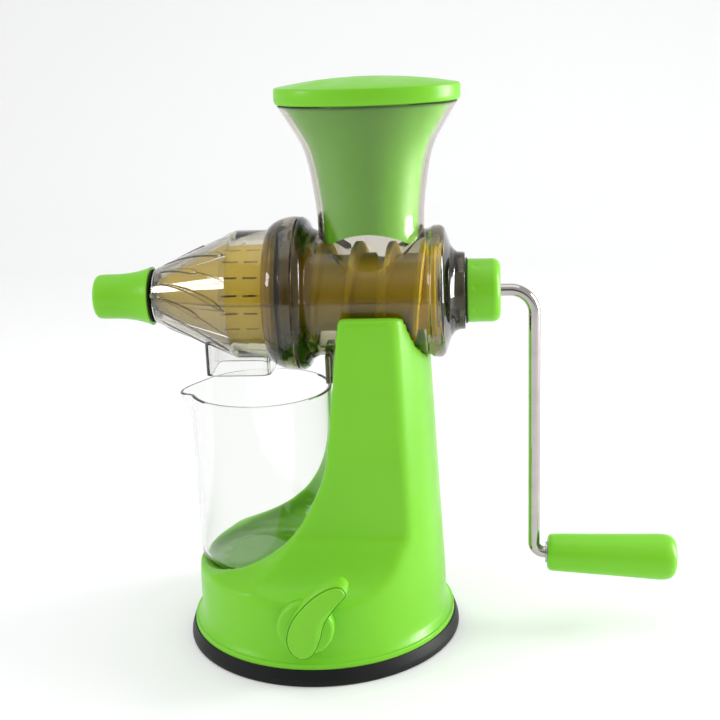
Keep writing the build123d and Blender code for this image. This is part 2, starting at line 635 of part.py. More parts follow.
with BuildPart() as juicer_body:
    revolve(outline(BARREL_SIDE, BARREL_OUTSIDE), axis=BARREL_AXIS)
    loft([oval(*section) for section in HOPPER_SECTIONS])
    # Keel and tongue that seat the barrel on the column
    with Locations((KEEL_X, 0, KEEL_BOTTOM)):
        Box(KEEL_LENGTH, KEEL_WIDTH, AXIS_HEIGHT - BARREL_BORE - KEEL_BOTTOM - 1,
            align=(Align.CENTER, Align.CENTER, Align.MIN))
    with Locations((TONGUE_X, 0, TONGUE_BOTTOM)):
        Box(TONGUE_THICKNESS, TONGUE_WIDTH, AXIS_HEIGHT - BARREL_BORE - TONGUE_BOTTOM - 1,
            align=(Align.MIN, Align.CENTER, Align.MIN))
    # Bayonet lugs on the spigot
    for angle in lug_angles():
        extrude(sector(across_barrel(BARREL_FRONT), SPIGOT_RADIUS - 1, LUG_RADIUS, angle, LUG_ANGLE),
                amount=LUG_THICKNESS)
    # Bore, bush seat and inside of the hopper
    extrude(disc(across_barrel(BARREL_FRONT - 1), BARREL_BORE), amount=BARREL_REAR - BARREL_FRONT + 1,
            mode=Mode.SUBTRACT)
    extrude(disc(across_barrel(BARREL_REAR - 1), BUSH_RADIUS), amount=COLLAR_REAR - BARREL_REAR + 2,
            mode=Mode.SUBTRACT)
    loft(
        [oval(z, length - HOPPER_WALL, depth - HOPPER_WALL) for z, length, depth in HOPPER_SECTIONS],
        mode=Mode.SUBTRACT,
    )
    # Pilot holes for the two screws
    with Locations((KEEL_X, 0, KEEL_BOTTOM)):
        with GridLocations(BODY_SCREW_SPACING, 0, 2, 1):
            Cylinder(BODY_SCREW_RADIUS, BODY_SCREW_LENGTH, mode=Mode.SUBTRACT,
                     align=(Align.CENTER, Align.CENTER, Align.CENTER))
juicer_body.part.label = "juicer_body"

with BuildPart() as body_screws:
    with Locations((KEEL_X, 0, COLUMN_CAVITY_TOP)):
        with GridLocations(BODY_SCREW_SPACING, 0, 2, 1):
            Cylinder(BODY_SCREW_HEAD_RADIUS, BODY_SCREW_HEAD_HEIGHT,
                     align=(Align.CENTER, Align.CENTER, Align.MAX))
            Cylinder(BODY_SCREW_RADIUS, KEEL_BOTTOM - COLUMN_CAVITY_TOP + BODY_SCREW_LENGTH / 2,
                     align=(Align.CENTER, Align.CENTER, Align.MIN))
body_screws.part.label = "body_screws"

# --- Front gasket, housing and locking ring -------------------------------------------------

with BuildPart() as front_gasket:
    with BuildSketch(across_barrel(GASKET_FRONT)):
        Circle(SPIGOT_RADIUS - BAYONET_GAP)
        Circle(SPIGOT_RADIUS - BAYONET_GAP - GASKET_WIDTH, mode=Mode.SUBTRACT)
    extrude(amount=GASKET_THICKNESS)
front_gasket.part.label = "front_gasket"

SHOULDER_ROUNDING = 2.4
CONE_SLOPE = (HOUSING_RADIUS - HOUSING_NOSE_RADIUS) / (HOUSING_SHOULDER_X - HOUSING_NOSE_X)
STRAINER_FLANGE_RADIUS = HOUSING_RADIUS - HOUSING_WALL - 1.0
HOUSING_OUTSIDE = (
    (NECK_FRONT, 0), (NECK_FRONT, NECK_RADIUS), (HOUSING_NOSE_X - 1.0, NECK_RADIUS),
    (HOUSING_NOSE_X - 1.0, HOUSING_NOSE_RADIUS - 1.2), (HOUSING_NOSE_X, HOUSING_NOSE_RADIUS),
    (HOUSING_SHOULDER_X - SHOULDER_ROUNDING, HOUSING_RADIUS - SHOULDER_ROUNDING * CONE_SLOPE),
    (HOUSING_SHOULDER_X + SHOULDER_ROUNDING / 2, HOUSING_RADIUS), (HOUSING_FLANGE_FRONT, HOUSING_RADIUS),
    (HOUSING_FLANGE_FRONT, SPIGOT_RADIUS), (GASKET_FRONT, SPIGOT_RADIUS), (GASKET_FRONT, 0),
)
HOUSING_INSIDE = (
    (NECK_FRONT - 1, 0), (NECK_FRONT - 1, NECK_BORE), (HOUSING_NOSE_X, NECK_BORE),
    (HOUSING_NOSE_X + 1.0, STRAINER_NOSE_RADIUS + 2 * BAYONET_GAP),
    (HOUSING_SHOULDER_X, HOUSING_RADIUS - HOUSING_WALL),
    (GASKET_FRONT - STRAINER_FLANGE_THICKNESS, HOUSING_RADIUS - HOUSING_WALL),
    (GASKET_FRONT + 1, HOUSING_RADIUS - HOUSING_WALL), (GASKET_FRONT + 1, 0),
)
PORT_LENGTH = SPOUT_LENGTH - 2 * SPOUT_WALL - 2 * SPOUT_PORT_MARGIN
PORT_WIDTH = SPOUT_WIDTH - 2 * SPOUT_WALL - 2 * SPOUT_PORT_MARGIN
with BuildPart() as front_housing:
    revolve(outline(BARREL_SIDE, HOUSING_OUTSIDE), axis=BARREL_AXIS)
    revolve(outline(BARREL_SIDE, HOUSING_INSIDE), axis=BARREL_AXIS, mode=Mode.SUBTRACT)
    # Port in the underside that lets the juice into the spout
    with BuildSketch(Plane.XY.offset(SPOUT_BOTTOM)):
        with Locations((SPOUT_X, 0)):
            RectangleRounded(PORT_LENGTH, PORT_WIDTH, SPOUT_CORNER / 2)
    extrude(amount=AXIS_HEIGHT - SPOUT_BOTTOM, mode=Mode.SUBTRACT)
front_housing.part.label = "front_housing"

RING_REAR = BARREL_FLANGE_FRONT - BAYONET_GAP - 0.1
RING_OUTSIDE = (
    (RING_FRONT, HOUSING_RADIUS + BAYONET_GAP), (RING_FRONT, HOUSING_RADIUS + 1.2),
    (RING_FRONT + 1.2, RING_RADIUS - 4.6), (RING_FRONT + 3.4, RING_RADIUS - 2.7),
    (RING_FRONT + 6.2, RING_RADIUS - 1.1), (RING_FRONT + 9.6, RING_RADIUS - 0.2),
    (RING_FRONT + 12.0, RING_RADIUS), (RING_REAR - 1.0, RING_RADIUS), (RING_REAR, RING_RADIUS - 0.8),
    (RING_REAR, LUG_RADIUS + BAYONET_GAP),
    (BARREL_FRONT - BAYONET_GAP, LUG_RADIUS + BAYONET_GAP),
    (BARREL_FRONT - BAYONET_GAP, SPIGOT_RADIUS + BAYONET_GAP),
    (HOUSING_FLANGE_FRONT - BAYONET_GAP, SPIGOT_RADIUS + BAYONET_GAP),
    (HOUSING_FLANGE_FRONT - BAYONET_GAP, HOUSING_RADIUS + BAYONET_GAP),
)
RING_LUG_FRONT = BARREL_FRONT + LUG_THICKNESS + BAYONET_GAP
with BuildPart() as locking_ring:
    revolve(outline(BARREL_SIDE, RING_OUTSIDE), axis=BARREL_AXIS)
    for angle in lug_angles():
        extrude(
            sector(across_barrel(RING_LUG_FRONT), SPIGOT_RADIUS + BAYONET_GAP,
                   LUG_RADIUS + BAYONET_GAP + 1, angle, LUG_ANGLE),
            amount=RING_REAR - RING_LUG_FRONT,
        )
locking_ring.part.label = "locking_ring"

# --- Strainer -------------------------------------------------------------------------------

strainer_rear = GASKET_FRONT
strainer_flange_front = strainer_rear - STRAINER_FLANGE_THICKNESS
STRAINER_PROFILE = (
    (STRAINER_NOSE_X, STRAINER_NOSE_RADIUS), (STRAINER_SHOULDER_X, STRAINER_RADIUS),
    (strainer_flange_front, STRAINER_RADIUS), (strainer_flange_front, STRAINER_FLANGE_RADIUS),
    (strainer_rear, STRAINER_FLANGE_RADIUS), (strainer_rear, STRAINER_RADIUS - STRAINER_WALL),
    (STRAINER_SHOULDER_X + STRAINER_WALL / 2, STRAINER_RADIUS - STRAINER_WALL),
    (STRAINER_NOSE_X, STRAINER_NOSE_RADIUS - STRAINER_WALL),
)
with BuildPart() as strainer:
    revolve(outline(BARREL_SIDE, STRAINER_PROFILE), axis=BARREL_AXIS)
    for slot_x in STRAINER_SLOT_ROWS:
        with Locations(Location((slot_x, 0, AXIS_HEIGHT), (0, 90, 0))):
            with PolarLocations(STRAINER_RADIUS, STRAINER_SLOT_COUNT):
                Box(4 * STRAINER_WALL, STRAINER_SLOT_WIDTH, STRAINER_SLOT_LENGTH, mode=Mode.SUBTRACT)
strainer.part.label = "strainer"

# --- Spout ----------------------------------------------------------------------------------

with BuildPart() as spout:
    with BuildSketch(Plane.XY.offset(SPOUT_BOTTOM)):
        with Locations((SPOUT_X, 0)):
            RectangleRounded(SPOUT_LENGTH, SPOUT_WIDTH, SPOUT_CORNER)
            RectangleRounded(SPOUT_LENGTH - 2 * SPOUT_WALL, SPOUT_WIDTH - 2 * SPOUT_WALL,
                             SPOUT_CORNER - SPOUT_WALL, mode=Mode.SUBTRACT)
    extrude(amount=AXIS_HEIGHT - SPOUT_BOTTOM)
    # The top edge follows the housing
    revolve(outline(BARREL_SIDE, HOUSING_OUTSIDE), axis=BARREL_AXIS, mode=Mode.SUBTRACT)
spout.part.label = "spout"

# --- Pulp outlet cap and its seal -----------------------------------------------------------

cap_bore = NECK_RADIUS + CAP_THREAD_CLEARANCE
cap_shoulder_x = NECK_FRONT - CAP_THREAD_CLEARANCE
with BuildPart() as nozzle_cap:
    with BuildSketch(BARREL_SIDE):
        with BuildLine():
            face = Line((CAP_FRONT, CAP_HOLE), (CAP_FRONT + 0.4, CAP_RADIUS - 4.4))
            edge = Spline(face @ 1, (CAP_FRONT + 1.6, CAP_RADIUS - 1.6), (CAP_FRONT + 4.2, CAP_RADIUS),
                          tangents=((0.2, 1), (1, 0)))
            barrel_line = Line(edge @ 1, (CAP_WAIST_X, CAP_RADIUS))
            flare = Spline(barrel_line @ 1, (CAP_REAR, CAP_MOUTH_RADIUS), tangents=((1, 0), (1, 0.34)))
            Polyline(
                flare @ 1, (CAP_REAR, cap_bore), (cap_shoulder_x, cap_bore), (cap_shoulder_x, CAP_HOLE),
                face @ 0,
            )
        make_face()
    revolve(axis=BARREL_AXIS)
nozzle_cap.part.label = "nozzle_cap"

with BuildPart() as nozzle_seal:
    with BuildSketch(across_barrel(CAP_REAR)):
        Circle(NOZZLE_SEAL_RADIUS)
        Circle(NECK_RADIUS + CAP_THREAD_CLEARANCE, mode=Mode.SUBTRACT)
    extrude(amount=NOZZLE_SEAL_THICKNESS)
nozzle_seal.part.label = "nozzle_seal"

# --- Feed screw -----------------------------------------------------------------------------


def flight_section(start_turn, crest_radius):
    """Section of the single flight, square to the screw's axis."""

    def point(radius, angle):
        turn = radians(angle) + radians(start_turn)
        return (radius * cos(turn), radius * sin(turn))

    root = SCREW_CORE_RADIUS
    heel = FLIGHT_HEEL_RADIUS
    crest = crest_radius
    with BuildSketch(Plane.XY) as sketch:
        with BuildLine():
            Line(point(root, -FLIGHT_ROOT_ANGLE), point(crest, -FLIGHT_CREST_ANGLE))
            ThreePointArc(point(crest, -FLIGHT_CREST_ANGLE), point(crest, 0), point(crest, FLIGHT_CREST_ANGLE))
            Line(point(crest, FLIGHT_CREST_ANGLE), point(root, FLIGHT_ROOT_ANGLE))
            Line(point(root, FLIGHT_ROOT_ANGLE), point(heel, FLIGHT_ROOT_ANGLE))
            ThreePointArc(point(heel, FLIGHT_ROOT_ANGLE), point(heel, 0), point(heel, -FLIGHT_ROOT_ANGLE))
            Line(point(heel, -FLIGHT_ROOT_ANGLE), point(root, -FLIGHT_ROOT_ANGLE))
        make_face()
    return sketch.sketch.faces()[0]


def flight_stretch(start_z, end_z, crest_radius):
    """A stretch of the flight, made by turning its section steadily along the screw."""
    section = flight_section(FLIGHT_PHASE - 360 * start_z / SCREW_PITCH, crest_radius)
    length = end_z - start_z
    turned = Solid.extrude_linear_with_rotation(
        section, (0, 0, 0), (0, 0, length), -360 * length / SCREW_PITCH)
    return turned.moved(Location((0, 0, start_z)))


# The screw is made upright, tip down, and laid along the barrel at the end
screw_length = SCREW_REAR - SCREW_TIP_X
cone_end = SCREW_CONE_X - SCREW_TIP_X
barrel_start = GASKET_FRONT - SCREW_TIP_X
boss_start = screw_length - SCREW_BOSS_LENGTH
strainer_slope = (STRAINER_RADIUS - STRAINER_NOSE_RADIUS) / (STRAINER_SHOULDER_X - STRAINER_NOSE_X)
low_crest_radius = STRAINER_RADIUS - STRAINER_WALL - FLIGHT_TIP_CLEARANCE
tip_crest_radius = low_crest_radius - strainer_slope * cone_end
with BuildPart() as tapered_flight:
    add(flight_stretch(0, cone_end, FLIGHT_RADIUS))
    revolve(
        outline(Plane.XZ, (
            (tip_crest_radius, -1), (tip_crest_radius, 0), (low_crest_radius, cone_end),
            (low_crest_radius, cone_end + 1), (2 * FLIGHT_RADIUS, cone_end + 1), (2 * FLIGHT_RADIUS, -1),
        )),
        axis=Axis.Z, mode=Mode.SUBTRACT,
    )
with BuildPart() as upright_screw:
    revolve(
        outline(Plane.XZ, (
            (0, 0), (SCREW_TIP_RADIUS, 0), (SCREW_CORE_RADIUS, cone_end), (SCREW_CORE_RADIUS, boss_start),
            (SCREW_BOSS_RADIUS, boss_start), (SCREW_BOSS_RADIUS, screw_length), (0, screw_length),
        )),
        axis=Axis.Z,
    )
    add(tapered_flight.part)
    add(flight_stretch(cone_end, barrel_start, low_crest_radius))
    add(flight_stretch(barrel_start, boss_start, FLIGHT_RADIUS))
    # Square socket for the drive shaft
    with BuildSketch(Plane.XY.offset(SHAFT_FRONT - SCREW_TIP_X)):
        Rectangle(SHAFT_SQUARE, SHAFT_SQUARE)
    extrude(amount=SCREW_REAR - SHAFT_FRONT + 1, mode=Mode.SUBTRACT)
with BuildPart() as auger:
    add(upright_screw.part.moved(Location((SCREW_TIP_X, 0, AXIS_HEIGHT), (0, 90, 0))))
auger.part.label = "auger"

# --- Drive shaft, bearing, washer and seal --------------------------------------------------

washer_front = SCREW_REAR + RUNNING_CLEARANCE
with BuildPart() as drive_shaft:
    with BuildSketch(across_barrel(SHAFT_FRONT + BAYONET_GAP)):
        Rectangle(SHAFT_SQUARE - RUNNING_CLEARANCE, SHAFT_SQUARE - RUNNING_CLEARANCE)
    extrude(amount=SHAFT_REAR - SHAFT_FRONT - BAYONET_GAP)
    extrude(disc(across_barrel(washer_front), SHAFT_RADIUS), amount=NUT_FRONT - washer_front)
drive_shaft.part.label = "drive_shaft"

with BuildPart() as rear_bush:
    with BuildSketch(across_barrel(BARREL_REAR)):
        Circle(BUSH_RADIUS)
        Circle(SHAFT_RADIUS + RUNNING_CLEARANCE, mode=Mode.SUBTRACT)
    extrude(amount=COLLAR_REAR - BARREL_REAR)
rear_bush.part.label = "rear_bush"

with BuildPart() as thrust_washer:
    with BuildSketch(across_barrel(washer_front)):
        Circle(THRUST_WASHER_RADIUS)
        Circle(SHAFT_RADIUS, mode=Mode.SUBTRACT)
    extrude(amount=THRUST_WASHER_THICKNESS)
thrust_washer.part.label = "thrust_washer"

with BuildPart() as shaft_seal:
    with BuildSketch(across_barrel(NUT_FRONT - SEAL_THICKNESS)):
        Circle(SEAL_RADIUS)
        Circle(SHAFT_RADIUS, mode=Mode.SUBTRACT)
    extrude(amount=SEAL_THICKNESS)
shaft_seal.part.label = "shaft_seal"

# --- Crank: nut, rod, grip ------------------------------------------------------------------

with BuildPart() as crank_nut:
    extrude(disc(across_barrel(NUT_FRONT), NUT_RADIUS), amount=NUT_LENGTH)
    fillet(crank_nut.edges().group_by(Axis.X)[-1], NUT_ROUNDING)
    # Shallow finger flutes that start a little behind the front edge
    flute_plane = across_barrel(NUT_FRONT + NUT_FLUTE_START)
    flute_centre_radius = NUT_RADIUS + NUT_FLUTE_RADIUS - NUT_FLUTE_DEPTH
    with BuildSketch(flute_plane):
        with PolarLocations(flute_centre_radius, NUT_FLUTES, start_angle=NUT_FLUTE_PHASE):
            Circle(NUT_FLUTE_RADIUS)
    extrude(amount=NUT_LENGTH, mode=Mode.SUBTRACT)
    with BuildSketch(across_barrel(NUT_FRONT)):
        Rectangle(SHAFT_SQUARE, SHAFT_SQUARE)
    extrude(amount=SHAFT_KEY_LENGTH + BAYONET_GAP, mode=Mode.SUBTRACT)
    extrude(disc(across_barrel(NUT_FRONT), ROD_RADIUS), amount=NUT_LENGTH + 1, mode=Mode.SUBTRACT)
crank_nut.part.label = "crank_nut"

grip_direction = (cos(radians(GRIP_DROOP)), 0, -sin(radians(GRIP_DROOP)))
rod_start_x = SHAFT_REAR + 2 * BAYONET_GAP
grip_end_reach = GRIP_START + GRIP_CHAMBER_START + GRIP_CHAMBER_LENGTH - 2


def on_grip_axis(distance):
    """A point on the grip's axis, measured from the rod's lower corner."""
    return (
        ROD_FOOT_X + grip_direction[0] * distance, 0, ROD_FOOT_Z + grip_direction[2] * distance,
    )


clip_start = GRIP_CHAMBER_START + GRIP_CHAMBER_LENGTH / 2 - CLIP_THICKNESS
grip_plane = Plane(origin=on_grip_axis(GRIP_START), x_dir=grip_direction, z_dir=(0, -1, 0))
grip_axis = Axis(on_grip_axis(GRIP_START), grip_direction)
clip_plane = Plane(origin=on_grip_axis(GRIP_START + clip_start), x_dir=(0, 1, 0), z_dir=grip_direction)
with BuildPart() as crank_rod:
    with BuildLine() as rod_path:
        FilletPolyline(
            (rod_start_x, 0, AXIS_HEIGHT), (ROD_X, 0, AXIS_HEIGHT), (ROD_FOOT_X, 0, ROD_FOOT_Z),
            on_grip_axis(grip_end_reach), radius=(ROD_TOP_BEND, ROD_FOOT_BEND),
        )
    with BuildSketch(across_barrel(rod_start_x)):
        Circle(ROD_RADIUS)
    sweep()
    # Groove for the clip
    with BuildSketch(clip_plane):
        Circle(ROD_RADIUS + 1)
        Circle(ROD_RADIUS - CLIP_GROOVE_DEPTH, mode=Mode.SUBTRACT)
    extrude(amount=CLIP_THICKNESS, mode=Mode.SUBTRACT)
crank_rod.part.label = "crank_rod"
rod_length = rod_path.wire().length
print("crank rod: length", round(rod_length, 2), "volume over section times length",
      round(crank_rod.part.volume / (pi * ROD_RADIUS ** 2 * rod_length), 4))

with BuildPart() as handle_grip:
    bore = ROD_RADIUS + GRIP_BORE_CLEARANCE
    nose_radius_x = GRIP_LENGTH - GRIP_NOSE_ROUNDING
    with BuildSketch(grip_plane):
        with BuildLine():
            start_face = Line((0, bore), (0, GRIP_START_RADIUS - GRIP_EDGE_ROUNDING))
            edge = ThreePointArc(
                start_face @ 1,
                (GRIP_EDGE_ROUNDING * (1 - cos(radians(45))),
                 GRIP_START_RADIUS - GRIP_EDGE_ROUNDING * (1 - sin(radians(45)))),
                (GRIP_EDGE_ROUNDING, GRIP_START_RADIUS),
            )
            side = Line(edge @ 1, (nose_radius_x, GRIP_END_RADIUS))
            nose = ThreePointArc(
                side @ 1,
                (nose_radius_x + GRIP_NOSE_ROUNDING * sin(radians(45)),
                 GRIP_END_RADIUS - GRIP_NOSE_ROUNDING * (1 - cos(radians(45)))),
                (GRIP_LENGTH, GRIP_END_RADIUS - GRIP_NOSE_ROUNDING),
            )
            Polyline(
                nose @ 1, (GRIP_LENGTH, 0), (GRIP_CHAMBER_START + GRIP_CHAMBER_LENGTH, 0),
                (GRIP_CHAMBER_START + GRIP_CHAMBER_LENGTH, GRIP_CHAMBER_RADIUS),
                (GRIP_CHAMBER_START, GRIP_CHAMBER_RADIUS), (GRIP_CHAMBER_START, bore), start_face @ 0,
            )
        make_face()
    revolve(axis=grip_axis)
handle_grip.part.label = "handle_grip"

with BuildPart() as grip_washer:
    with BuildSketch(Plane(
        origin=on_grip_axis(GRIP_START - GRIP_WASHER_THICKNESS - 2 * GRIP_BORE_CLEARANCE),
        x_dir=(0, 1, 0), z_dir=grip_direction,
    )):
        Circle(GRIP_WASHER_RADIUS)
        Circle(ROD_RADIUS, mode=Mode.SUBTRACT)
    extrude(amount=GRIP_WASHER_THICKNESS)
grip_washer.part.label = "grip_washer"

with BuildPart() as grip_clip:
    with BuildSketch(clip_plane):
        Circle(ROD_RADIUS + CLIP_GROOVE_DEPTH)
        Circle(ROD_RADIUS - CLIP_GROOVE_DEPTH, mode=Mode.SUBTRACT)
    extrude(amount=CLIP_THICKNESS)
grip_clip.part.label = "grip_clip"

# --- Pusher ---------------------------------------------------------------------------------

PUSHER_GAP = 1.0
PUSHER_WALL = 1.8
PUSHER_BOTTOM = 205.6
PUSHER_ARCH_TOP = 211.6
PUSHER_ARCH_RADIUS = 30.0
LID_BOTTOM = HOPPER_TOP + 0.5
LID_EDGE_HEIGHT = 6.6
LID_HALF_LENGTH = 44.7
LID_HALF_DEPTH = 32.2
LID_DOME_HEIGHT = 5.4
LID_RIB_DEPTH = 1.6
LID_RIB_GAP = 3.0
pusher_inset = HOPPER_WALL + PUSHER_GAP
PUSHER_SECTIONS = tuple(
    (z, length - pusher_inset, depth - pusher_inset)
    for z, length, depth in ((PUSHER_BOTTOM, *HOPPER_SECTIONS[1][1:]),) + HOPPER_SECTIONS[1:]
)
with BuildPart() as pusher_body:
    loft([oval(*section) for section in PUSHER_SECTIONS])
    extrude(oval(*PUSHER_SECTIONS[-1]), amount=LID_BOTTOM - HOPPER_TOP)
    inner_sections = [(z, length - PUSHER_WALL, depth - PUSHER_WALL) for z, length, depth in PUSHER_SECTIONS]
    loft([oval(*section) for section in inner_sections], mode=Mode.SUBTRACT)
    extrude(oval(*inner_sections[-1]), amount=LID_BOTTOM - HOPPER_TOP, mode=Mode.SUBTRACT)
    # Arch in the front and back walls that clears the screw
    extrude(
        disc(front_plane(FAR), PUSHER_ARCH_RADIUS, (HOPPER_X, PUSHER_ARCH_TOP - PUSHER_ARCH_RADIUS)),
        amount=2 * FAR, mode=Mode.SUBTRACT,
    )
pusher_body.part.label = "pusher_body"

lid_side_top = LID_BOTTOM + LID_EDGE_HEIGHT
spigot_section = inner_sections[-1]
with BuildPart() as pusher_lid:
    extrude(oval(LID_BOTTOM, LID_HALF_LENGTH, LID_HALF_DEPTH), amount=LID_EDGE_HEIGHT)
    # Dome: each level is a smaller oval, after a circular rise
    dome_shares = (0.0, 0.3, 0.55, 0.78, 0.95)
    loft([
        oval(lid_side_top + LID_DOME_HEIGHT * (1 - (1 - share) ** 2),
             LID_HALF_LENGTH * (1 - share), LID_HALF_DEPTH * (1 - share))
        for share in dome_shares
    ])
    # Hollow underneath, with a rib that goes into the skirt
    extrude(oval(LID_BOTTOM, spigot_section[1] - LID_RIB_GAP, spigot_section[2] - LID_RIB_GAP),
            amount=LID_EDGE_HEIGHT, mode=Mode.SUBTRACT)
    with BuildSketch(Plane.XY.offset(LID_BOTTOM - LID_RIB_DEPTH)):
        with Locations((HOPPER_X, 0)):
            Ellipse(spigot_section[1] - LID_RIB_GAP, spigot_section[2] - LID_RIB_GAP)
            Ellipse(spigot_section[1] - LID_RIB_GAP - PUSHER_WALL,
                    spigot_section[2] - LID_RIB_GAP - PUSHER_WALL, mode=Mode.SUBTRACT)
    extrude(amount=LID_RIB_DEPTH + LID_EDGE_HEIGHT)
pusher_lid.part.label = "pusher_lid"

# --- Jug ------------------------------------------------------------------------------------


def jug_section(z, radius, beak_radius):
    """Level section of the jug's top, a circle drawn out into the pouring beak."""
    beak_x = -(JUG_RADIUS + JUG_BEAK_LENGTH - JUG_BEAK_RADIUS)
    with BuildSketch(Plane(origin=(JUG_X, 0, z))) as sketch:
        with BuildLine():
            CenterArc((0, 0), radius, 0, 360)
            CenterArc((beak_x, 0), beak_radius, 0, 360)
        make_hull()
    return sketch.sketch


def jug_solid(inset, floor_z):
    """Half section of the jug's outside, or of its inside when inset by the wall."""
    radius = JUG_RADIUS - inset
    corner = JUG_CORNER - inset
    with BuildSketch(jug_side) as sketch:
        with BuildLine():
            floor = Line((0, floor_z), (radius - corner, floor_z))
            bend = ThreePointArc(
                floor @ 1,
                (radius - corner * (1 - sin(radians(45))), floor_z + corner * (1 - cos(radians(45)))),
                (radius, floor_z + corner),
            )
            Polyline(bend @ 1, (radius, JUG_TOP), (0, JUG_TOP), floor @ 0)
        make_face()
    return sketch.sketch


BEAK_FOOT_Z = JUG_TOP - JUG_BEAK_DEPTH
beak_foot_radius = JUG_BEAK_RADIUS - JUG_BEAK_LENGTH - 0.2
with BuildPart() as jug:
    revolve(jug_solid(0, POCKET_FLOOR_Z), axis=jug_axis)
    loft([jug_section(BEAK_FOOT_Z, JUG_RADIUS, beak_foot_radius),
          jug_section(JUG_TOP, JUG_RADIUS, JUG_BEAK_RADIUS)], ruled=True)
    revolve(jug_solid(JUG_WALL, POCKET_FLOOR_Z + JUG_FLOOR), axis=jug_axis, mode=Mode.SUBTRACT)
    loft([jug_section(BEAK_FOOT_Z, JUG_RADIUS - JUG_WALL, beak_foot_radius - JUG_WALL),
          jug_section(JUG_TOP, JUG_RADIUS - JUG_WALL, JUG_BEAK_RADIUS - JUG_WALL)],
         ruled=True, mode=Mode.SUBTRACT)
jug.part.label = "jug"

# --- One file for each piece ----------------------------------------------------------------

os.makedirs("parts", exist_ok=True)
for builder in (
    stand, suction_cup, suction_plate, lever, lever_shaft, lever_bush, lever_clip, juicer_body,
    body_screws, front_gasket, front_housing, locking_ring, strainer, spout, nozzle_cap, nozzle_seal,
    auger, drive_shaft, rear_bush, thrust_washer, shaft_seal, crank_nut, crank_rod, handle_grip,
    grip_washer, grip_clip, pusher_body, pusher_lid, jug,
):
    export_step(builder.part, f"parts/{builder.part.label}.step")
print("suction lift over the lever's turn, mm:", round(LEVER_LIFT, 3))
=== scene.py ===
"""Looks of a hand cranked wheatgrass juicer on a suction foot.

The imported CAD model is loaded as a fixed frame. Each sub-assembly is a class that works its
surfaces out with numpy, in millimetres, and gives them their finishes. +X points along the
barrel to the crank, -Y to the suction lever and +Z up, as in the frame.
"""

import logging
import math
from dataclasses import dataclass
from enum import Enum
from typing import Callable, Optional, Sequence

import bmesh
import bpy
import numpy as np
from mathutils import Matrix, Vector

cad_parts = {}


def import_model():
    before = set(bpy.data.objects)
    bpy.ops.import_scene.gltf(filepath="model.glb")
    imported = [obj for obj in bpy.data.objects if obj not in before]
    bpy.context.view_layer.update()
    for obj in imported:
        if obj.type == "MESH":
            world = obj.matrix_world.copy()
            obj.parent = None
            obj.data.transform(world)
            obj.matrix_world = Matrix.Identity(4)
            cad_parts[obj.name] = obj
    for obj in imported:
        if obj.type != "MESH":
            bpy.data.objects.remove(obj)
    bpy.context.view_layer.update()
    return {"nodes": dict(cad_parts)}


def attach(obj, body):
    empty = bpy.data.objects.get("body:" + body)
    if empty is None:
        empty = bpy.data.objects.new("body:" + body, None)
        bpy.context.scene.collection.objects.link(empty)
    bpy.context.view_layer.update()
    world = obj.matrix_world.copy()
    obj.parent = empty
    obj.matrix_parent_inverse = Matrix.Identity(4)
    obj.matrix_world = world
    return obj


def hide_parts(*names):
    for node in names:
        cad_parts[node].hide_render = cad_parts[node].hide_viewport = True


LOG = logging.getLogger("juicer")

MM = 0.001
AXIS_Z = 179.0
CORNER_STEPS = 6
LATHE_STEPS = 128
WELD_DISTANCE = 1e-7
PARTING_ANGLE = 1.6
PARTING_WIDTH = 0.013
# Strength of the painted shade that darkens the parting line, where the surface turns sharply and
# looks dark.
PARTING_SHADE = 0.55

Pair = tuple[float, float]
Triple = tuple[float, float, float]
Relief = Callable[[np.ndarray, np.ndarray], np.ndarray]
NodeSocket = bpy.types.NodeSocket


class Turning(Enum):
    """The line that a lathed piece is turned about."""

    BARREL = "barrel"
    UPRIGHT = "upright"


# --- Surfaces -------------------------------------------------------------------------------


def rounded(points: Sequence[Pair], radius: float, closed: bool = True) -> np.ndarray:
    """Rounds the corners of an outline.

    Each corner is replaced by the parabola (1-s)^2 a + 2 s (1-s) p + s^2 b, where a and b lie on
    the two sides at the rounding distance, or at under half the side if that is shorter.

    Args:
        points: Corners of the outline.
        radius: Distance from each corner at which the rounding starts.
        closed: Whether the last corner joins the first.

    Returns:
        The rounded outline, one row for each point.
    """
    corners = np.asarray(points, float)
    before = np.roll(corners, 1, axis=0)
    after = np.roll(corners, -1, axis=0)
    to_before = before - corners
    to_after = after - corners
    length_before = np.linalg.norm(to_before, axis=1, keepdims=True)
    length_after = np.linalg.norm(to_after, axis=1, keepdims=True)
    reach = np.minimum(radius, 0.46 * np.minimum(length_before, length_after))
    start = corners + to_before / length_before * reach
    end = corners + to_after / length_after * reach
    s = np.linspace(0, 1, CORNER_STEPS)[None, :, None]
    arcs = (1 - s) ** 2 * start[:, None] + 2 * s * (1 - s) * corners[:, None] + s**2 * end[:, None]
    if closed:
        return arcs.reshape(-1, corners.shape[1])
    inner = arcs[1:-1].reshape(-1, corners.shape[1])
    return np.vstack([corners[:1], inner, corners[-1:]])


def smooth_through(
    points: Sequence[Sequence[float]], steps: int, closed: bool = False
) -> np.ndarray:
    """A smooth line through points, the uniform Catmull-Rom cubic on each span.

    Args:
        points: Points that the line passes through.
        steps: Points made on each span.
        closed: Whether the line comes back to its start.

    Returns:
        The line's points.
    """
    knots = np.asarray(points, float)
    if closed:
        padded = np.vstack([knots[-1:], knots, knots[:2]])
    else:
        first = 2 * knots[0] - knots[1]
        last = 2 * knots[-1] - knots[-2]
        padded = np.vstack([first, knots, last])
    p0, p1, p2, p3 = (padded[i : len(padded) - 3 + i, None] for i in range(4))
    t = np.linspace(0, 1, steps, endpoint=False)[None, :, None]
    spans = 0.5 * (
        2 * p1
        + (p2 - p0) * t
        + (2 * p0 - 5 * p1 + 4 * p2 - p3) * t**2
        + (3 * p1 - p0 - 3 * p2 + p3) * t**3
    )
    line = spans.reshape(-1, knots.shape[1])
    return line if closed else np.vstack([line, knots[-1:]])


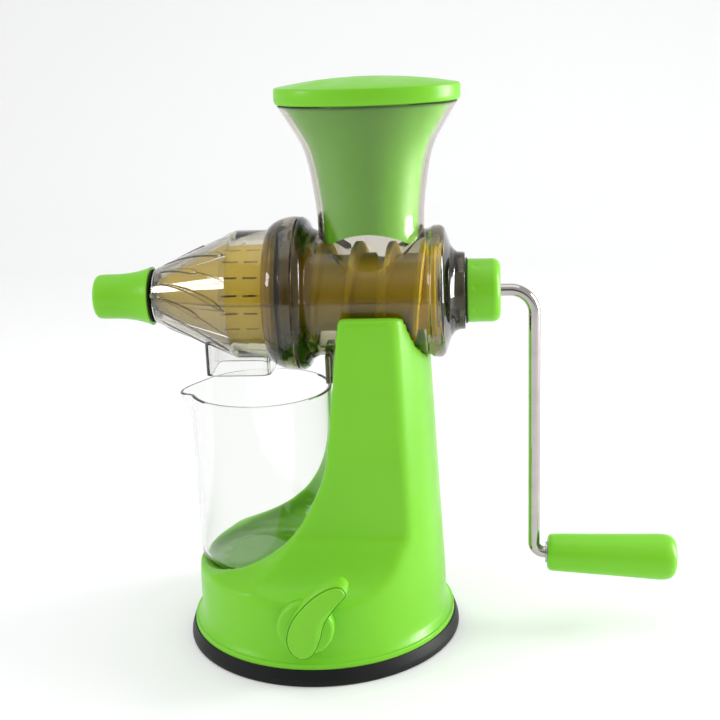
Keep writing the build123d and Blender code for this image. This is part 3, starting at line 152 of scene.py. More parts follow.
def smooth_step(low: float, high: float, x: np.ndarray) -> np.ndarray:
    """Rises from 0 at low to 1 at high as 3 t^2 - 2 t^3."""
    t = np.clip((x - low) / (high - low), 0, 1)
    return t * t * (3 - 2 * t)


def unit(direction: np.ndarray) -> np.ndarray:
    """A direction at length 1."""
    return direction / np.linalg.norm(direction)


def full_turn(steps: int) -> np.ndarray:
    """Angles of one turn, without its end."""
    return np.linspace(0, 2 * math.pi, steps, endpoint=False)


def about_barrel(x: np.ndarray, radius: np.ndarray, angle: np.ndarray) -> np.ndarray:
    """Points (x, -r sin a, axis + r cos a), where the angle a runs from the top."""
    return np.stack([x, -radius * np.sin(angle), AXIS_Z + radius * np.cos(angle)], axis=2)


def lathe(
    profile: np.ndarray,
    turning: Turning = Turning.BARREL,
    centre: float = 0.0,
    steps: int = LATHE_STEPS,
    relief: Optional[Relief] = None,
) -> np.ndarray:
    """Turns a profile into a grid of points.

    About the barrel the points are those of about_barrel; upright a point is
    (centre + r cos a, r sin a, z), where a runs once round.

    Args:
        profile: Rows of (place along the axis, radius).
        turning: The axis.
        centre: The upright axis's x.
        steps: Columns round the axis.
        relief: Gives what is added to the radius, from the place and the angle.

    Returns:
        Grid of points, profile along the first index and angle along the second.
    """
    angle = full_turn(steps)[None, :]
    along = profile[:, :1]
    radius = profile[:, 1:2] + 0 * angle
    if relief is not None:
        radius = radius + relief(along, angle)
    along = along + 0 * angle
    if turning is Turning.BARREL:
        return about_barrel(along, radius, angle)
    return np.stack([centre + radius * np.cos(angle), radius * np.sin(angle), along], axis=2)


def only_on_rows(relief: Relief, first: int, end: int) -> Relief:
    """Limits a relief to some of the profile's rows.

    Args:
        relief: The relief.
        first: The first row that has it.
        end: The row after the last that has it.

    Returns:
        A relief that is nothing on the other rows.
    """

    def limited(along: np.ndarray, angle: np.ndarray) -> np.ndarray:
        """The relief where the row has it."""
        row = np.arange(len(along))[:, None]
        return np.where((row >= first) & (row < end), relief(along, angle), 0.0)

    return limited


def carried_along(path: np.ndarray, radius: float, steps: int = 40) -> np.ndarray:
    """Carries a circle along a path that lies in the plane y = 0.

    At each point the circle stands square to the path: its points are
    p + r (cos a n + sin a y), where n is the path's normal in that plane.

    Args:
        path: The path's points.
        radius: The circle's radius.
        steps: Points round the circle.

    Returns:
        Grid of points, path along the first index.
    """
    tangent = np.gradient(path, axis=0)
    tangent /= np.linalg.norm(tangent, axis=1, keepdims=True)
    sideways = np.array([0.0, 1.0, 0.0])
    normal = np.cross(sideways, tangent)
    angle = full_turn(steps)[None, :, None]
    return path[:, None] + radius * (np.cos(angle) * normal[:, None] + np.sin(angle) * sideways)


def add_object(name: str, data: bpy.types.ID) -> bpy.types.Object:
    """Makes an object of some data and links it into the scene."""
    made = bpy.data.objects.new(name, data)
    bpy.context.scene.collection.objects.link(made)
    return made


def oval(centre_x: float, a: float, b: float, z: float, turn: np.ndarray) -> np.ndarray:
    """Level oval (centre + a cos t, b sin t) at a height."""
    return np.stack([centre_x + a * np.cos(turn), b * np.sin(turn), z + 0 * turn], axis=1)


class Shell:
    """A mesh that is put together from grids of points."""

    def __init__(self) -> None:
        """Starts with no faces."""
        self.points: list[np.ndarray] = []
        self.faces: list[np.ndarray] = []
        self.count = 0

    def grid(
        self, points: np.ndarray, wrap_rows: bool = False, wrap_columns: bool = True
    ) -> "Shell":
        """Adds a grid of quads.

        Args:
            points: Rows and columns of points.
            wrap_rows: Whether the last row joins the first.
            wrap_columns: Whether the last column joins the first.

        Returns:
            The shell itself.
        """
        rows, columns = points.shape[:2]
        index = np.arange(rows * columns).reshape(rows, columns) + self.count
        if wrap_rows:
            index = np.vstack([index, index[:1]])
        if wrap_columns:
            index = np.hstack([index, index[:, :1]])
        quads = np.stack([index[:-1, :-1], index[:-1, 1:], index[1:, 1:], index[1:, :-1]], axis=-1)
        self.points.append(points.reshape(-1, 3))
        self.faces.append(quads.reshape(-1, 4))
        self.count += rows * columns
        return self

    def closed_end(self, ring: np.ndarray) -> "Shell":
        """Closes a ring of points with a fan to its middle."""
        return self.grid(np.stack([ring, np.broadcast_to(ring.mean(axis=0), ring.shape)]))

    def build(self, name: str, smooth_angle: float = 40.0) -> bpy.types.Object:
        """Makes the Blender object, in metres, with its doubles merged and its faces outward.

        Args:
            name: The piece's name.
            smooth_angle: Edges sharper than this many degrees stay sharp.

        Returns:
            The object, at the origin.
        """
        mesh = bpy.data.meshes.new(name)
        mesh.from_pydata((np.vstack(self.points) * MM).tolist(), [], np.vstack(self.faces).tolist())
        work = bmesh.new()
        work.from_mesh(mesh)
        bmesh.ops.remove_doubles(work, verts=work.verts, dist=WELD_DISTANCE)
        bmesh.ops.dissolve_degenerate(work, edges=work.edges, dist=WELD_DISTANCE)
        bmesh.ops.recalc_face_normals(work, faces=work.faces)
        work.to_mesh(mesh)
        work.free()
        mesh.shade_smooth()
        mesh.set_sharp_from_angle(angle=math.radians(smooth_angle))
        return add_object(name, mesh)


# --- Shared shader node groups ---------------------------------------------------------------


def new_group(name: str, inputs: dict[str, float], outputs: dict[str, str]) -> bpy.types.NodeTree:
    """Starts a shader node group.

    Args:
        name: The group's name.
        inputs: Float inputs and their first values.
        outputs: Outputs and their socket types.

    Returns:
        The group, with its input and output nodes named Group Input and Group Output.
    """
    tree = bpy.data.node_groups.new(name, "ShaderNodeTree")
    for label, value in inputs.items():
        socket = tree.interface.new_socket(label, in_out="INPUT", socket_type="NodeSocketFloat")
        socket.default_value = value
    for label, kind in outputs.items():
        tree.interface.new_socket(label, in_out="OUTPUT", socket_type=kind)
    tree.nodes.new("NodeGroupInput").name = "Group Input"
    tree.nodes.new("NodeGroupOutput").name = "Group Output"
    return tree


def set_inputs(node: bpy.types.Node, values: dict[str, object]) -> None:
    """Sets a node's inputs by their names."""
    for label, value in values.items():
        node.inputs[label].default_value = value


def object_place(tree: bpy.types.NodeTree) -> NodeSocket:
    """Adds the object coordinates."""
    return tree.nodes.new("ShaderNodeTexCoord").outputs["Object"]


def noise(tree: bpy.types.NodeTree, scale: float, detail: float, place: NodeSocket) -> NodeSocket:
    """Adds a noise texture at a place and returns its value."""
    node = tree.nodes.new("ShaderNodeTexNoise")
    set_inputs(node, {"Scale": scale, "Detail": detail})
    tree.links.new(place, node.inputs["Vector"])
    return node.outputs["Fac"]


def remap(
    tree: bpy.types.NodeTree, source: NodeSocket, low: float, high: float,
    to_range: Pair = (0.0, 1.0),
) -> NodeSocket:
    """Adds a Map Range node.

    Args:
        tree: The node tree.
        source: The value that it takes.
        low: The value that becomes the first of to_range.
        high: The value that becomes the second of to_range.
        to_range: What low and high become.

    Returns:
        The node's result.
    """
    node = tree.nodes.new("ShaderNodeMapRange")
    tree.links.new(source, node.inputs["Value"])
    first, last = to_range
    set_inputs(node, {"From Min": low, "From Max": high, "To Min": first, "To Max": last})
    return node.outputs["Result"]


def combine(
    tree: bpy.types.NodeTree, operation: str, first: NodeSocket, second: NodeSocket
) -> NodeSocket:
    """Adds a Math node for two values and returns its value."""
    node = tree.nodes.new("ShaderNodeMath")
    node.operation = operation
    tree.links.new(first, node.inputs[0])
    tree.links.new(second, node.inputs[1])
    return node.outputs["Value"]


def moulded_surface() -> bpy.types.NodeTree:
    """Builds the group for moulded plastic, or returns it if it is there already.

    Its outputs are a slow colour drift from 0 to 1, a roughness that wanders between two values
    with handling marks, and a height of fine orange peel over slow sink marks.
    """
    name = "moulded_surface"
    if name in bpy.data.node_groups:
        return bpy.data.node_groups[name]
    tree = new_group(
        name,
        {"Low Roughness": 0.2, "High Roughness": 0.35, "Peel": 1.0},
        {"Drift": "NodeSocketFloat", "Roughness": "NodeSocketFloat", "Height": "NodeSocketFloat"},
    )
    given, result = tree.nodes["Group Input"], tree.nodes["Group Output"]
    place = object_place(tree)
    drift = noise(tree, 14.0, 2.0, place)
    marks = noise(tree, 60.0, 5.0, place)
    peel = noise(tree, 900.0, 2.0, place)
    sink = noise(tree, 30.0, 1.0, place)
    mixed = tree.nodes.new("ShaderNodeMix")
    fine = combine(tree, "MULTIPLY", peel, given.outputs["Peel"])
    for source, target in (
        (drift, result.inputs["Drift"]),
        (remap(tree, marks, 0.38, 0.68), mixed.inputs["Factor"]),
        (given.outputs["Low Roughness"], mixed.inputs["A"]),
        (given.outputs["High Roughness"], mixed.inputs["B"]),
        (mixed.outputs["Result"], result.inputs["Roughness"]),
        (combine(tree, "ADD", fine, sink), result.inputs["Height"]),
    ):
        tree.links.new(source, target)
    return tree


# --- Finishes -------------------------------------------------------------------------------


@dataclass(frozen=True)
class Finish:
    """What every finish has: its name and the name of its material slot."""

    name: str
    slot: str

    def material(self) -> bpy.types.Material:
        """Returns the finish's material, built on first use."""
        if self.name in bpy.data.materials:
            return bpy.data.materials[self.name]
        made = bpy.data.materials.new(self.name)
        made.use_nodes = True
        self.dress(made.node_tree, made.node_tree.nodes["Principled BSDF"])
        return made

    def dress(self, tree: bpy.types.NodeTree, shader: bpy.types.Node) -> None:
        """Sets the shader up. Each finish has its own."""
        raise NotImplementedError


def bump(
    tree: bpy.types.NodeTree, shader: bpy.types.Node, height: NodeSocket, strength: float,
    distance: float,
) -> None:
    """Feeds a height through a Bump node into the shader's normal.

    Args:
        tree: The node tree.
        shader: The shader.
        height: The height.
        strength: The node's strength.
        distance: The node's distance in metres.
    """
    node = tree.nodes.new("ShaderNodeBump")
    set_inputs(node, {"Strength": strength, "Distance": distance})
    tree.links.new(height, node.inputs["Height"])
    tree.links.new(node.outputs["Normal"], shader.inputs["Normal"])


def two_tone(
    tree: bpy.types.NodeTree, factor: NodeSocket, first: Triple, second: Triple, target: NodeSocket
) -> None:
    """Mixes two colours by a factor.

    Args:
        tree: The node tree.
        factor: The second colour's share.
        first: The first colour.
        second: The second colour.
        target: The colour input that takes the mix.
    """
    node = tree.nodes.new("ShaderNodeMix")
    node.data_type = "RGBA"
    set_inputs(node, {"A": (*first, 1), "B": (*second, 1)})
    tree.links.new(factor, node.inputs["Factor"])
    tree.links.new(node.outputs["Result"], target)


@dataclass(frozen=True)
class MouldedPlastic(Finish):
    """Opaque moulded plastic: a slow drift of colour, handling marks and fine orange peel."""

    colour: Triple = (0.2, 0.6, 0.04)
    second_colour: Triple = (0.22, 0.64, 0.05)
    low_roughness: float = 0.28
    high_roughness: float = 0.4
    peel: float = 1.0
    bump_strength: float = 0.12
    specular: float = 0.5

    def dress(self, tree: bpy.types.NodeTree, shader: bpy.types.Node) -> None:
        """Wires the moulded surface group into the shader."""
        group = tree.nodes.new("ShaderNodeGroup")
        group.node_tree = moulded_surface()
        set_inputs(group, {
            "Low Roughness": self.low_roughness, "High Roughness": self.high_roughness,
            "Peel": self.peel,
        })
        drift = remap(tree, group.outputs["Drift"], 0.35, 0.65)
        two_tone(tree, drift, self.colour, self.second_colour, shader.inputs["Base Color"])
        tree.links.new(group.outputs["Roughness"], shader.inputs["Roughness"])
        bump(tree, shader, group.outputs["Height"], self.bump_strength, distance=0.0002)
        set_inputs(shader, {"IOR": 1.5, "Specular IOR Level": self.specular})


@dataclass(frozen=True)
class ClearPlastic(Finish):
    """See-through plastic, darker where it is thick, with slow flow marks and painted shade on
    lines.
    """

    absorbed: Triple = (0.9, 0.9, 0.9)
    density: float = 40.0
    roughness: float = 0.02
    ior: float = 1.4
    shade: float = 0.08
    gloss: float = 0.3
    gloss_roughness: float = 0.02
    colour: Triple = (0.985, 0.985, 0.98)
    # Painted shade: the dark colour that the lines take.
    edge_shade_colour: Triple = (0.045, 0.025, 0.02)

    def dress(self, tree: bpy.types.NodeTree, shader: bpy.types.Node) -> None:
        """Sets transmission and absorption, and wires the flow marks, the lines' painted shade and
        the shade.

        For shadow rays the alpha is the shade, so that what is inside is lit through the wall.

        The piece's point attribute called lines is 1 on a rib's outline, a parting line or the
        hopper's rim, and 0 elsewhere. There the base colour is darkened: painted shade for the dark
        look of a sharply turning surface, and on the hopper's rim a painted shadow under the lid.
        """
        flow = noise(tree, 26.0, 2.0, object_place(tree))
        shade_mask = tree.nodes.new("ShaderNodeAttribute")
        shade_mask.attribute_name = "lines"
        base = shader.inputs["Base Color"]
        # Painted shade: the lines darken the base colour.
        two_tone(tree, shade_mask.outputs["Fac"], self.colour, self.edge_shade_colour, base)
        haze = remap(tree, flow, 0.3, 0.7, (self.roughness, 2 * self.roughness))
        tree.links.new(haze, shader.inputs["Roughness"])
        bump(tree, shader, flow, strength=0.08, distance=0.0006)
        set_inputs(shader, {
            "Transmission Weight": 1.0, "IOR": self.ior, "Coat Weight": self.gloss,
            "Coat Roughness": self.gloss_roughness,
        })
        ray = tree.nodes.new("ShaderNodeLightPath")
        through = remap(tree, ray.outputs["Is Shadow Ray"], 0.0, 1.0, (1.0, self.shade))
        tree.links.new(through, shader.inputs["Alpha"])
        depth = tree.nodes.new("ShaderNodeVolumeAbsorption")
        set_inputs(depth, {"Color": (*self.absorbed, 1), "Density": self.density})
        tree.links.new(depth.outputs["Volume"], tree.nodes["Material Output"].inputs["Volume"])


@dataclass(frozen=True)
class Rubber(Finish):
    """Black rubber: dull, with a fine grain and paler dust in places."""

    colour: Triple = (0.0025, 0.003, 0.003)
    dust_colour: Triple = (0.006, 0.007, 0.007)
    roughness: Pair = (0.42, 0.56)
    specular: float = 0.25

    def dress(self, tree: bpy.types.NodeTree, shader: bpy.types.Node) -> None:
        """Wires grain and dust."""
        place = object_place(tree)
        grain = noise(tree, 700.0, 3.0, place)
        dust = noise(tree, 45.0, 5.0, place)
        pale = remap(tree, dust, 0.45, 0.8)
        two_tone(tree, pale, self.colour, self.dust_colour, shader.inputs["Base Color"])
        tree.links.new(remap(tree, dust, 0.3, 0.7, self.roughness), shader.inputs["Roughness"])
        set_inputs(shader, {"Specular IOR Level": self.specular})
        bump(tree, shader, grain, strength=0.15, distance=0.0002)


@dataclass(frozen=True)
class Metal(Finish):
    """Bare or plated steel with fine scratches."""

    colour: Triple = (0.7, 0.7, 0.71)
    roughness: Pair = (0.05, 0.16)
    dulling: float = 0.9

    def dress(self, tree: bpy.types.NodeTree, shader: bpy.types.Node) -> None:
        """Wires patches of wear into colour and roughness, and upright scratches into height."""
        place = object_place(tree)
        worn = noise(tree, 120.0, 6.0, place)
        stretch = tree.nodes.new("ShaderNodeMapping")
        set_inputs(stretch, {"Scale": (1.0, 1.0, 0.05)})
        tree.links.new(place, stretch.inputs["Vector"])
        scratches = noise(tree, 1500.0, 3.0, stretch.outputs["Vector"])
        dull = tuple(self.dulling * channel for channel in self.colour)
        drift = remap(tree, worn, 0.4, 0.7)
        two_tone(tree, drift, self.colour, dull, shader.inputs["Base Color"])
        tree.links.new(remap(tree, worn, 0.35, 0.7, self.roughness), shader.inputs["Roughness"])
        bump(tree, shader, scratches, strength=0.03, distance=0.0001)
        set_inputs(shader, {"Metallic": 1.0})


GREEN = MouldedPlastic(
    "green_moulded", "green_plastic", (0.20, 0.62, 0.022), (0.215, 0.65, 0.026), specular=0.3
)
SMOKE = ClearPlastic("smoke_clear", "smoke_plastic", (0.70, 0.67, 0.56), density=310.0)
CONE_SMOKE = ClearPlastic("smoke_cone", "smoke_plastic", (0.72, 0.68, 0.54), density=290.0)
RING_SMOKE = ClearPlastic("smoke_dark", "smoke_plastic", (0.66, 0.62, 0.50), density=520.0)
SPOUT_SMOKE = ClearPlastic("smoke_pale", "smoke_plastic", (0.66, 0.65, 0.62), density=150.0)
CLEAR = ClearPlastic(
    "water_clear", "clear_plastic", (0.5, 0.52, 0.5), density=24.0, roughness=0.01, ior=1.36,
    shade=0.06, gloss=0.2,
)
OLIVE = MouldedPlastic(
    "screw_yellow", "screw_plastic", (0.86, 0.62, 0.008), (0.9, 0.66, 0.012),
    low_roughness=0.46, high_roughness=0.6, peel=0.6,
)
WHITE = MouldedPlastic(
    "bearing_white", "white_plastic", (0.7, 0.7, 0.66), (0.75, 0.75, 0.72),
    low_roughness=0.4, high_roughness=0.55,
)
RUBBER = Rubber("soft_rubber", "black_rubber")
CHROME = Metal("chrome", "chrome_steel", (0.5, 0.47, 0.45), roughness=(0.06, 0.14))
STEEL = Metal("turned_steel", "steel", (0.5, 0.5, 0.5), roughness=(0.22, 0.4))


def wear(piece: bpy.types.Object, finish: Finish, body: str, *nodes: str) -> bpy.types.Object:
    """Gives a new piece its finish, its body and the CAD nodes that it stands for.

    Args:
        piece: The new piece.
        finish: Its finish.
        body: The CAD body that it rides on.
        nodes: CAD nodes that it replaces.

    Returns:
        The piece.
    """
    piece.data.materials.clear()
    piece.data.materials.append(finish.material())
    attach(piece, body)
    if nodes:
        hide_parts(*nodes)
    LOG.info("%s: %d faces", piece.name, len(piece.data.polygons))
    return piece


def dress_node(node: bpy.types.Object, finish: Finish) -> None:
    """Gives a CAD node that stays in view its finish."""
    node.data.materials.clear()
    node.data.materials.append(finish.material())
    LOG.info("%s: CAD node, %s", node.name, finish.name)


def parting_line(angle: np.ndarray) -> np.ndarray:
    """Mould parting line at the barrel's front and back: a bell curve of the angle about it."""
    return np.exp(-(((np.abs(angle - math.pi) - PARTING_ANGLE) / PARTING_WIDTH) ** 2))


def write_shade_mask(piece: bpy.types.Object, rule: Relief) -> None:
    """Writes the point attribute called lines, the mask of the painted shade.

    Args:
        piece: A piece about the barrel's axis.
        rule: Gives 0 to 1 from the points in millimetres and their angles from the top.
    """
    count = len(piece.data.vertices)
    flat = np.empty(count * 3)
    piece.data.vertices.foreach_get("co", flat)
    point = flat.reshape(-1, 3) / MM
    angle = np.arctan2(-point[:, 1], point[:, 2] - AXIS_Z) % (2 * math.pi)
    value = np.clip(rule(point, angle), 0, 1).astype(np.float32)
    # Mask of painted shade, 0 to 1 at each point.
    piece.data.attributes.new("lines", "FLOAT", "POINT").data.foreach_set("value", value)


# --- Sub-assemblies -------------------------------------------------------------------------


@dataclass
class Foot:
    """The black rubber foot under the drum."""

    radius: float = 71.0
    top_radius: float = 69.2
    height: float = 7.6
    inner_radius: float = 53.4
    collar_radius: float = 61.0
    collar_inner: float = 58.6
    collar_top: float = 11.0
    membrane: float = 2.5

    def build(self) -> None:
        """Lathes the foot: a thick rounded rim, a collar inside the drum and a thin middle."""
        outline = [
            (0.0, 0.0), (0.0, self.radius - 0.9), (0.9, self.radius), (3.4, self.radius - 0.2),
            (self.height + 0.7, self.top_radius), (self.height + 0.7, self.top_radius - 0.8),
            (self.height, self.top_radius - 1.6), (self.height, self.collar_radius),
            (self.collar_top, self.collar_radius), (self.collar_top, self.collar_inner),
            (self.height / 2, self.collar_inner), (self.membrane, self.inner_radius),
            (self.membrane, 0.0),
        ]
        body = np.vstack([outline[:1], rounded(outline[1:-1], 0.8, closed=False), outline[-1:]])
        shell = Shell().grid(lathe(body, Turning.UPRIGHT, steps=192))
        wear(shell.build("rubber_foot"), RUBBER, "stand", "suction_cup")


@dataclass
class Stand:
    """The green stand: a merged copy of its CAD mesh, its edges softened as moulded ones are."""

    voxel: float = 1.5
    smoothing: int = 6
    smoothing_factor: float = 0.6
    merge_distance: float = 1e-6
    bead: tuple[Pair, ...] = ((7.9, 66.0), (7.9, 68.6), (10.7, 68.45), (11.2, 66.0))

    def build(self, node: bpy.types.Object) -> None:
        """Copies the CAD mesh, evens out its faces, rounds its edges and lathes the rim's bead.

        Args:
            node: The stand's CAD object.
        """
        mesh = bpy.data.meshes.new("soft_stand")
        work = bmesh.new()
        work.from_mesh(node.data)
        bmesh.ops.remove_doubles(work, verts=work.verts, dist=self.merge_distance)
        work.to_mesh(mesh)
        work.free()
        mesh.shade_smooth()
        piece = add_object("soft_stand", mesh)
        even = piece.modifiers.new("even", "REMESH")
        even.mode = "VOXEL"
        even.voxel_size = self.voxel * MM
        even.use_smooth_shade = True
        soft = piece.modifiers.new("soft", "SMOOTH")
        soft.factor = self.smoothing_factor
        soft.iterations = self.smoothing
        wear(piece, GREEN, "stand", "stand")
        bead = lathe(rounded(self.bead, 0.4), Turning.UPRIGHT, steps=288)
        wear(Shell().grid(bead, wrap_rows=True).build("rim_bead"), GREEN, "stand")


@dataclass
class Lever:
    """The green suction lever: a disc on the drum and a leaf to turn it by."""

    axis_z: float = 31.5
    back_y: float = -66.0
    disc_radius: float = 13.7
    disc_depth: float = 6.5
    leaf_depth: float = 8.0
    crown: float = 1.1
    cover_inset: float = 1.5
    cover_bend: float = 0.9
    middle: Pair = (5.0, 36.5)
    outline: tuple[Pair, ...] = (
        (-8.2, 29.6), (-4.9, 39.6), (3.4, 49.4), (12.2, 55.4), (18.6, 56.4), (21.2, 52.2),
        (16.0, 45.8), (10.6, 37.6), (7.9, 28.4), (4.2, 21.4), (-1.2, 18.9), (-6.4, 22.4),
    )

    def drawn_in(self, ring: np.ndarray, inset: float) -> np.ndarray:
        """The outline moved inwards along its own normals."""
        along = np.roll(ring, -1, axis=0) - np.roll(ring, 1, axis=0)
        along /= np.linalg.norm(along, axis=1, keepdims=True)
        return ring + inset * np.column_stack([along[:, 1], -along[:, 0]])

    def leaf(self) -> np.ndarray:
        """Stacks the leaf's rings: its wall, the groove round its cover and the crowned front.

        On the front a ring is middle + s (edge - middle), and it stands out by crown (1 - s^2).
        """
        edge = smooth_through(self.outline, 10, closed=True)
        front = self.back_y - self.disc_depth - self.leaf_depth + self.crown
        bend = self.cover_bend
        steps = [(0.0, self.back_y - 1.0), (0.0, front + 1.3), (0.12, front + 1.1)]
        steps += [(0.2, front + 1.9), (0.5, front + 1.9)]
        for turn in np.linspace(0, math.pi / 2, 7):
            inset = self.cover_inset - bend * math.cos(turn)
            steps.append((inset, front + bend - bend * math.sin(turn)))
        rings = [(self.drawn_in(edge, inset), y) for inset, y in steps]
        top = self.drawn_in(edge, self.cover_inset)
        middle = np.array([self.middle])
        for share in np.linspace(0.96, 0.0, 14):
            lift = self.crown * (1 - share**2)
            rings.append((middle + share * (top - middle), front - lift))
        return np.stack([
            np.column_stack([ring[:, 0], np.full(len(ring), y), ring[:, 1]]) for ring, y in rings
        ])

    def disc(self) -> np.ndarray:
        """Stacks the disc's rings, from its middle at the back to its middle at the front."""
        angle = full_turn(96)
        radius, depth = self.disc_radius, self.disc_depth
        side = [
            (0.0, 0.0), (radius - 0.6, 0.0), (radius, 0.6), (radius, depth - 1.6),
            (radius - 0.5, depth - 0.5), (radius - 1.6, depth), (6.0, depth + 0.35),
            (0.0, depth + 0.4),
        ]
        return np.stack([
            np.column_stack([
                r * np.cos(angle), np.full(len(angle), self.back_y - d),
                self.axis_z + r * np.sin(angle),
            ])
            for r, d in side
        ])

    def build(self) -> None:
        """Joins leaf and disc in one piece."""
        leaf = self.leaf()
        shell = Shell().grid(leaf).closed_end(leaf[0]).grid(self.disc())
        wear(shell.build("suction_lever", 50), GREEN, "lever", "lever")


@dataclass
class Housing:
    """The clear cone in front of the barrel, with slanted ribs moulded on it."""

    nose_x: float = -77.84
    nose_radius: float = 13.6
    radius: float = 32.0
    shoulder_x: float = -36.0
    flange_x: float = -15.5
    flange_radius: float = 33.6
    rear_x: float = -12.2
    wall: float = 2.0
    neck_radius: float = 9.6
    neck_bore: float = 7.4
    neck_x: float = -96.0
    rib_count: int = 14
    rib_turn: float = 0.74
    rib_height: float = 0.5
    # Width of the painted shade along a rib's outline.
    rib_shade_width: float = 0.42
    cone_rows: int = 130
    cone_reach: float = 20.5

    def share_along(self, x: np.ndarray) -> np.ndarray:
        """Share of the way from the nose to the shoulder."""
        return (x - self.nose_x) / (self.shoulder_x - self.nose_x)

    def cone_radius(self, share: np.ndarray) -> np.ndarray:
        """Radius of the plain cone at a share of the way."""
        return self.nose_radius + (self.radius - self.nose_radius) * share

    def within_rib(self, along: np.ndarray, angle: np.ndarray) -> tuple[np.ndarray, np.ndarray]:
        """How far a point lies inside a leaf-shaped rib, and how far along it.

        A rib's middle lies at the angle spacing * number + turn * share, where share runs from
        the nose to the shoulder. Its half width grows with the share to the power 1.4 and closes
        in a round end; every other rib ends early.

        Args:
            along: Places along the barrel.
            angle: Angles about it from the top.

        Returns:
            Millimetres inside the rib's outline, and the share of the rib's length.
        """
        share = self.share_along(along)
        radius = self.cone_radius(share)
        spacing = 2 * math.pi / self.rib_count
        number = np.round((angle - self.rib_turn * share) / spacing)
        beside = np.abs(angle - self.rib_turn * share - number * spacing) * radius
        end = np.where(number % 2 < 0.5, 0.93, 0.62)
        way = np.clip((share - 0.07) / (end - 0.07), 0, 1)
        half = (0.25 + 1.7 * way**1.4) * np.sqrt(np.clip(1 - way**8, 0, 1)) * (share > 0.06)
        return half - beside, way

    def relief(self, along: np.ndarray, angle: np.ndarray) -> np.ndarray:
        """Height of the ribs: a soft step at each outline, fading in from the narrow end."""
        within, way = self.within_rib(along, angle)
        return self.rib_height * smooth_step(-0.45, 0.3, within - 0.2) * smooth_step(0.0, 0.12, way)

    def outline(self, along: np.ndarray, angle: np.ndarray) -> np.ndarray:
        """Painted shade: dark lines on the ribs' outlines and on the parting line at the front and
        back.
        """
        within, way = self.within_rib(along, angle)
        ribs = np.exp(-(((within - 0.05) / self.rib_shade_width) ** 2))
        ribs = ribs * smooth_step(0.0, 0.1, way) * (way < 1.001)
        parting = PARTING_SHADE * parting_line(angle) * (along > -72)
        return np.maximum(ribs * (along < self.shoulder_x - 1.0), parting)

    def build(self) -> None:
        """Builds the wall as one closed lathe, outside and inside."""
        outside = rounded(
            [
                (self.neck_x, self.neck_bore), (self.neck_x, self.neck_radius),
                (self.nose_x - 1.0, self.neck_radius), (self.nose_x - 1.0, self.nose_radius - 1.0),
                (self.nose_x, self.nose_radius), (self.shoulder_x, self.radius),
                (self.flange_x, self.radius), (self.flange_x, self.flange_radius),
                (self.rear_x, self.flange_radius), (self.rear_x, self.radius - self.wall),
            ],
            1.0, closed=False,
        )
        inside = np.array([
            (self.shoulder_x + 0.6, self.radius - self.wall),
            (self.nose_x + 1.6, self.nose_radius - self.wall), (self.nose_x, self.neck_bore),
        ])
        cone_x = np.linspace(self.nose_x + 1.0, self.shoulder_x - 1.0, self.cone_rows)
        cone = np.column_stack([cone_x, self.cone_radius(self.share_along(cone_x))])
        start = np.argmax(outside[:, 0] > self.nose_x + 0.2)
        before, rest = outside[:start], outside[start:]
        # One point of the nose's rounding is further than the reach from the cone's middle, so
        # it comes after the cone, and the profile runs back to it once.
        after = rest[np.abs(rest[:, 0] - (self.nose_x + self.shoulder_x) / 2) > self.cone_reach]
        profile = np.vstack([before, cone, after, inside])
        relief = only_on_rows(self.relief, len(before), len(before) + len(cone))
        shell = Shell().grid(lathe(profile, steps=440, relief=relief), wrap_rows=True)
        piece = shell.build("front_cone")
        # Painted shade along the ribs' outlines and the parting line.
        write_shade_mask(piece, lambda point, angle: self.outline(point[:, 0], angle))
        wear(piece, CONE_SMOKE, "stand", "front_housing")


@dataclass
class Ring:
    """The fat ring that locks the cone on the barrel."""

    outside: tuple[Pair, ...] = (
        (-19.2, 33.2), (-17.4, 35.0), (-14.6, 36.6), (-11.0, 37.8), (-7.4, 38.35), (-4.9, 38.2),
    )
    inside: tuple[Pair, ...] = (
        (-4.3, 37.4), (-4.3, 36.3), (-10.3, 36.3), (-10.3, 33.9), (-15.8, 33.9), (-15.8, 32.3),
        (-19.2, 32.3),
    )

    def build(self) -> None:
        """Lathes the ring with its soft outside and its stepped inside."""
        profile = np.vstack([smooth_through(self.outside, 8), self.inside])
        shell = Shell().grid(lathe(profile, steps=192), wrap_rows=True)
        wear(shell.build("locking_collar"), RING_SMOKE, "ring", "locking_ring")


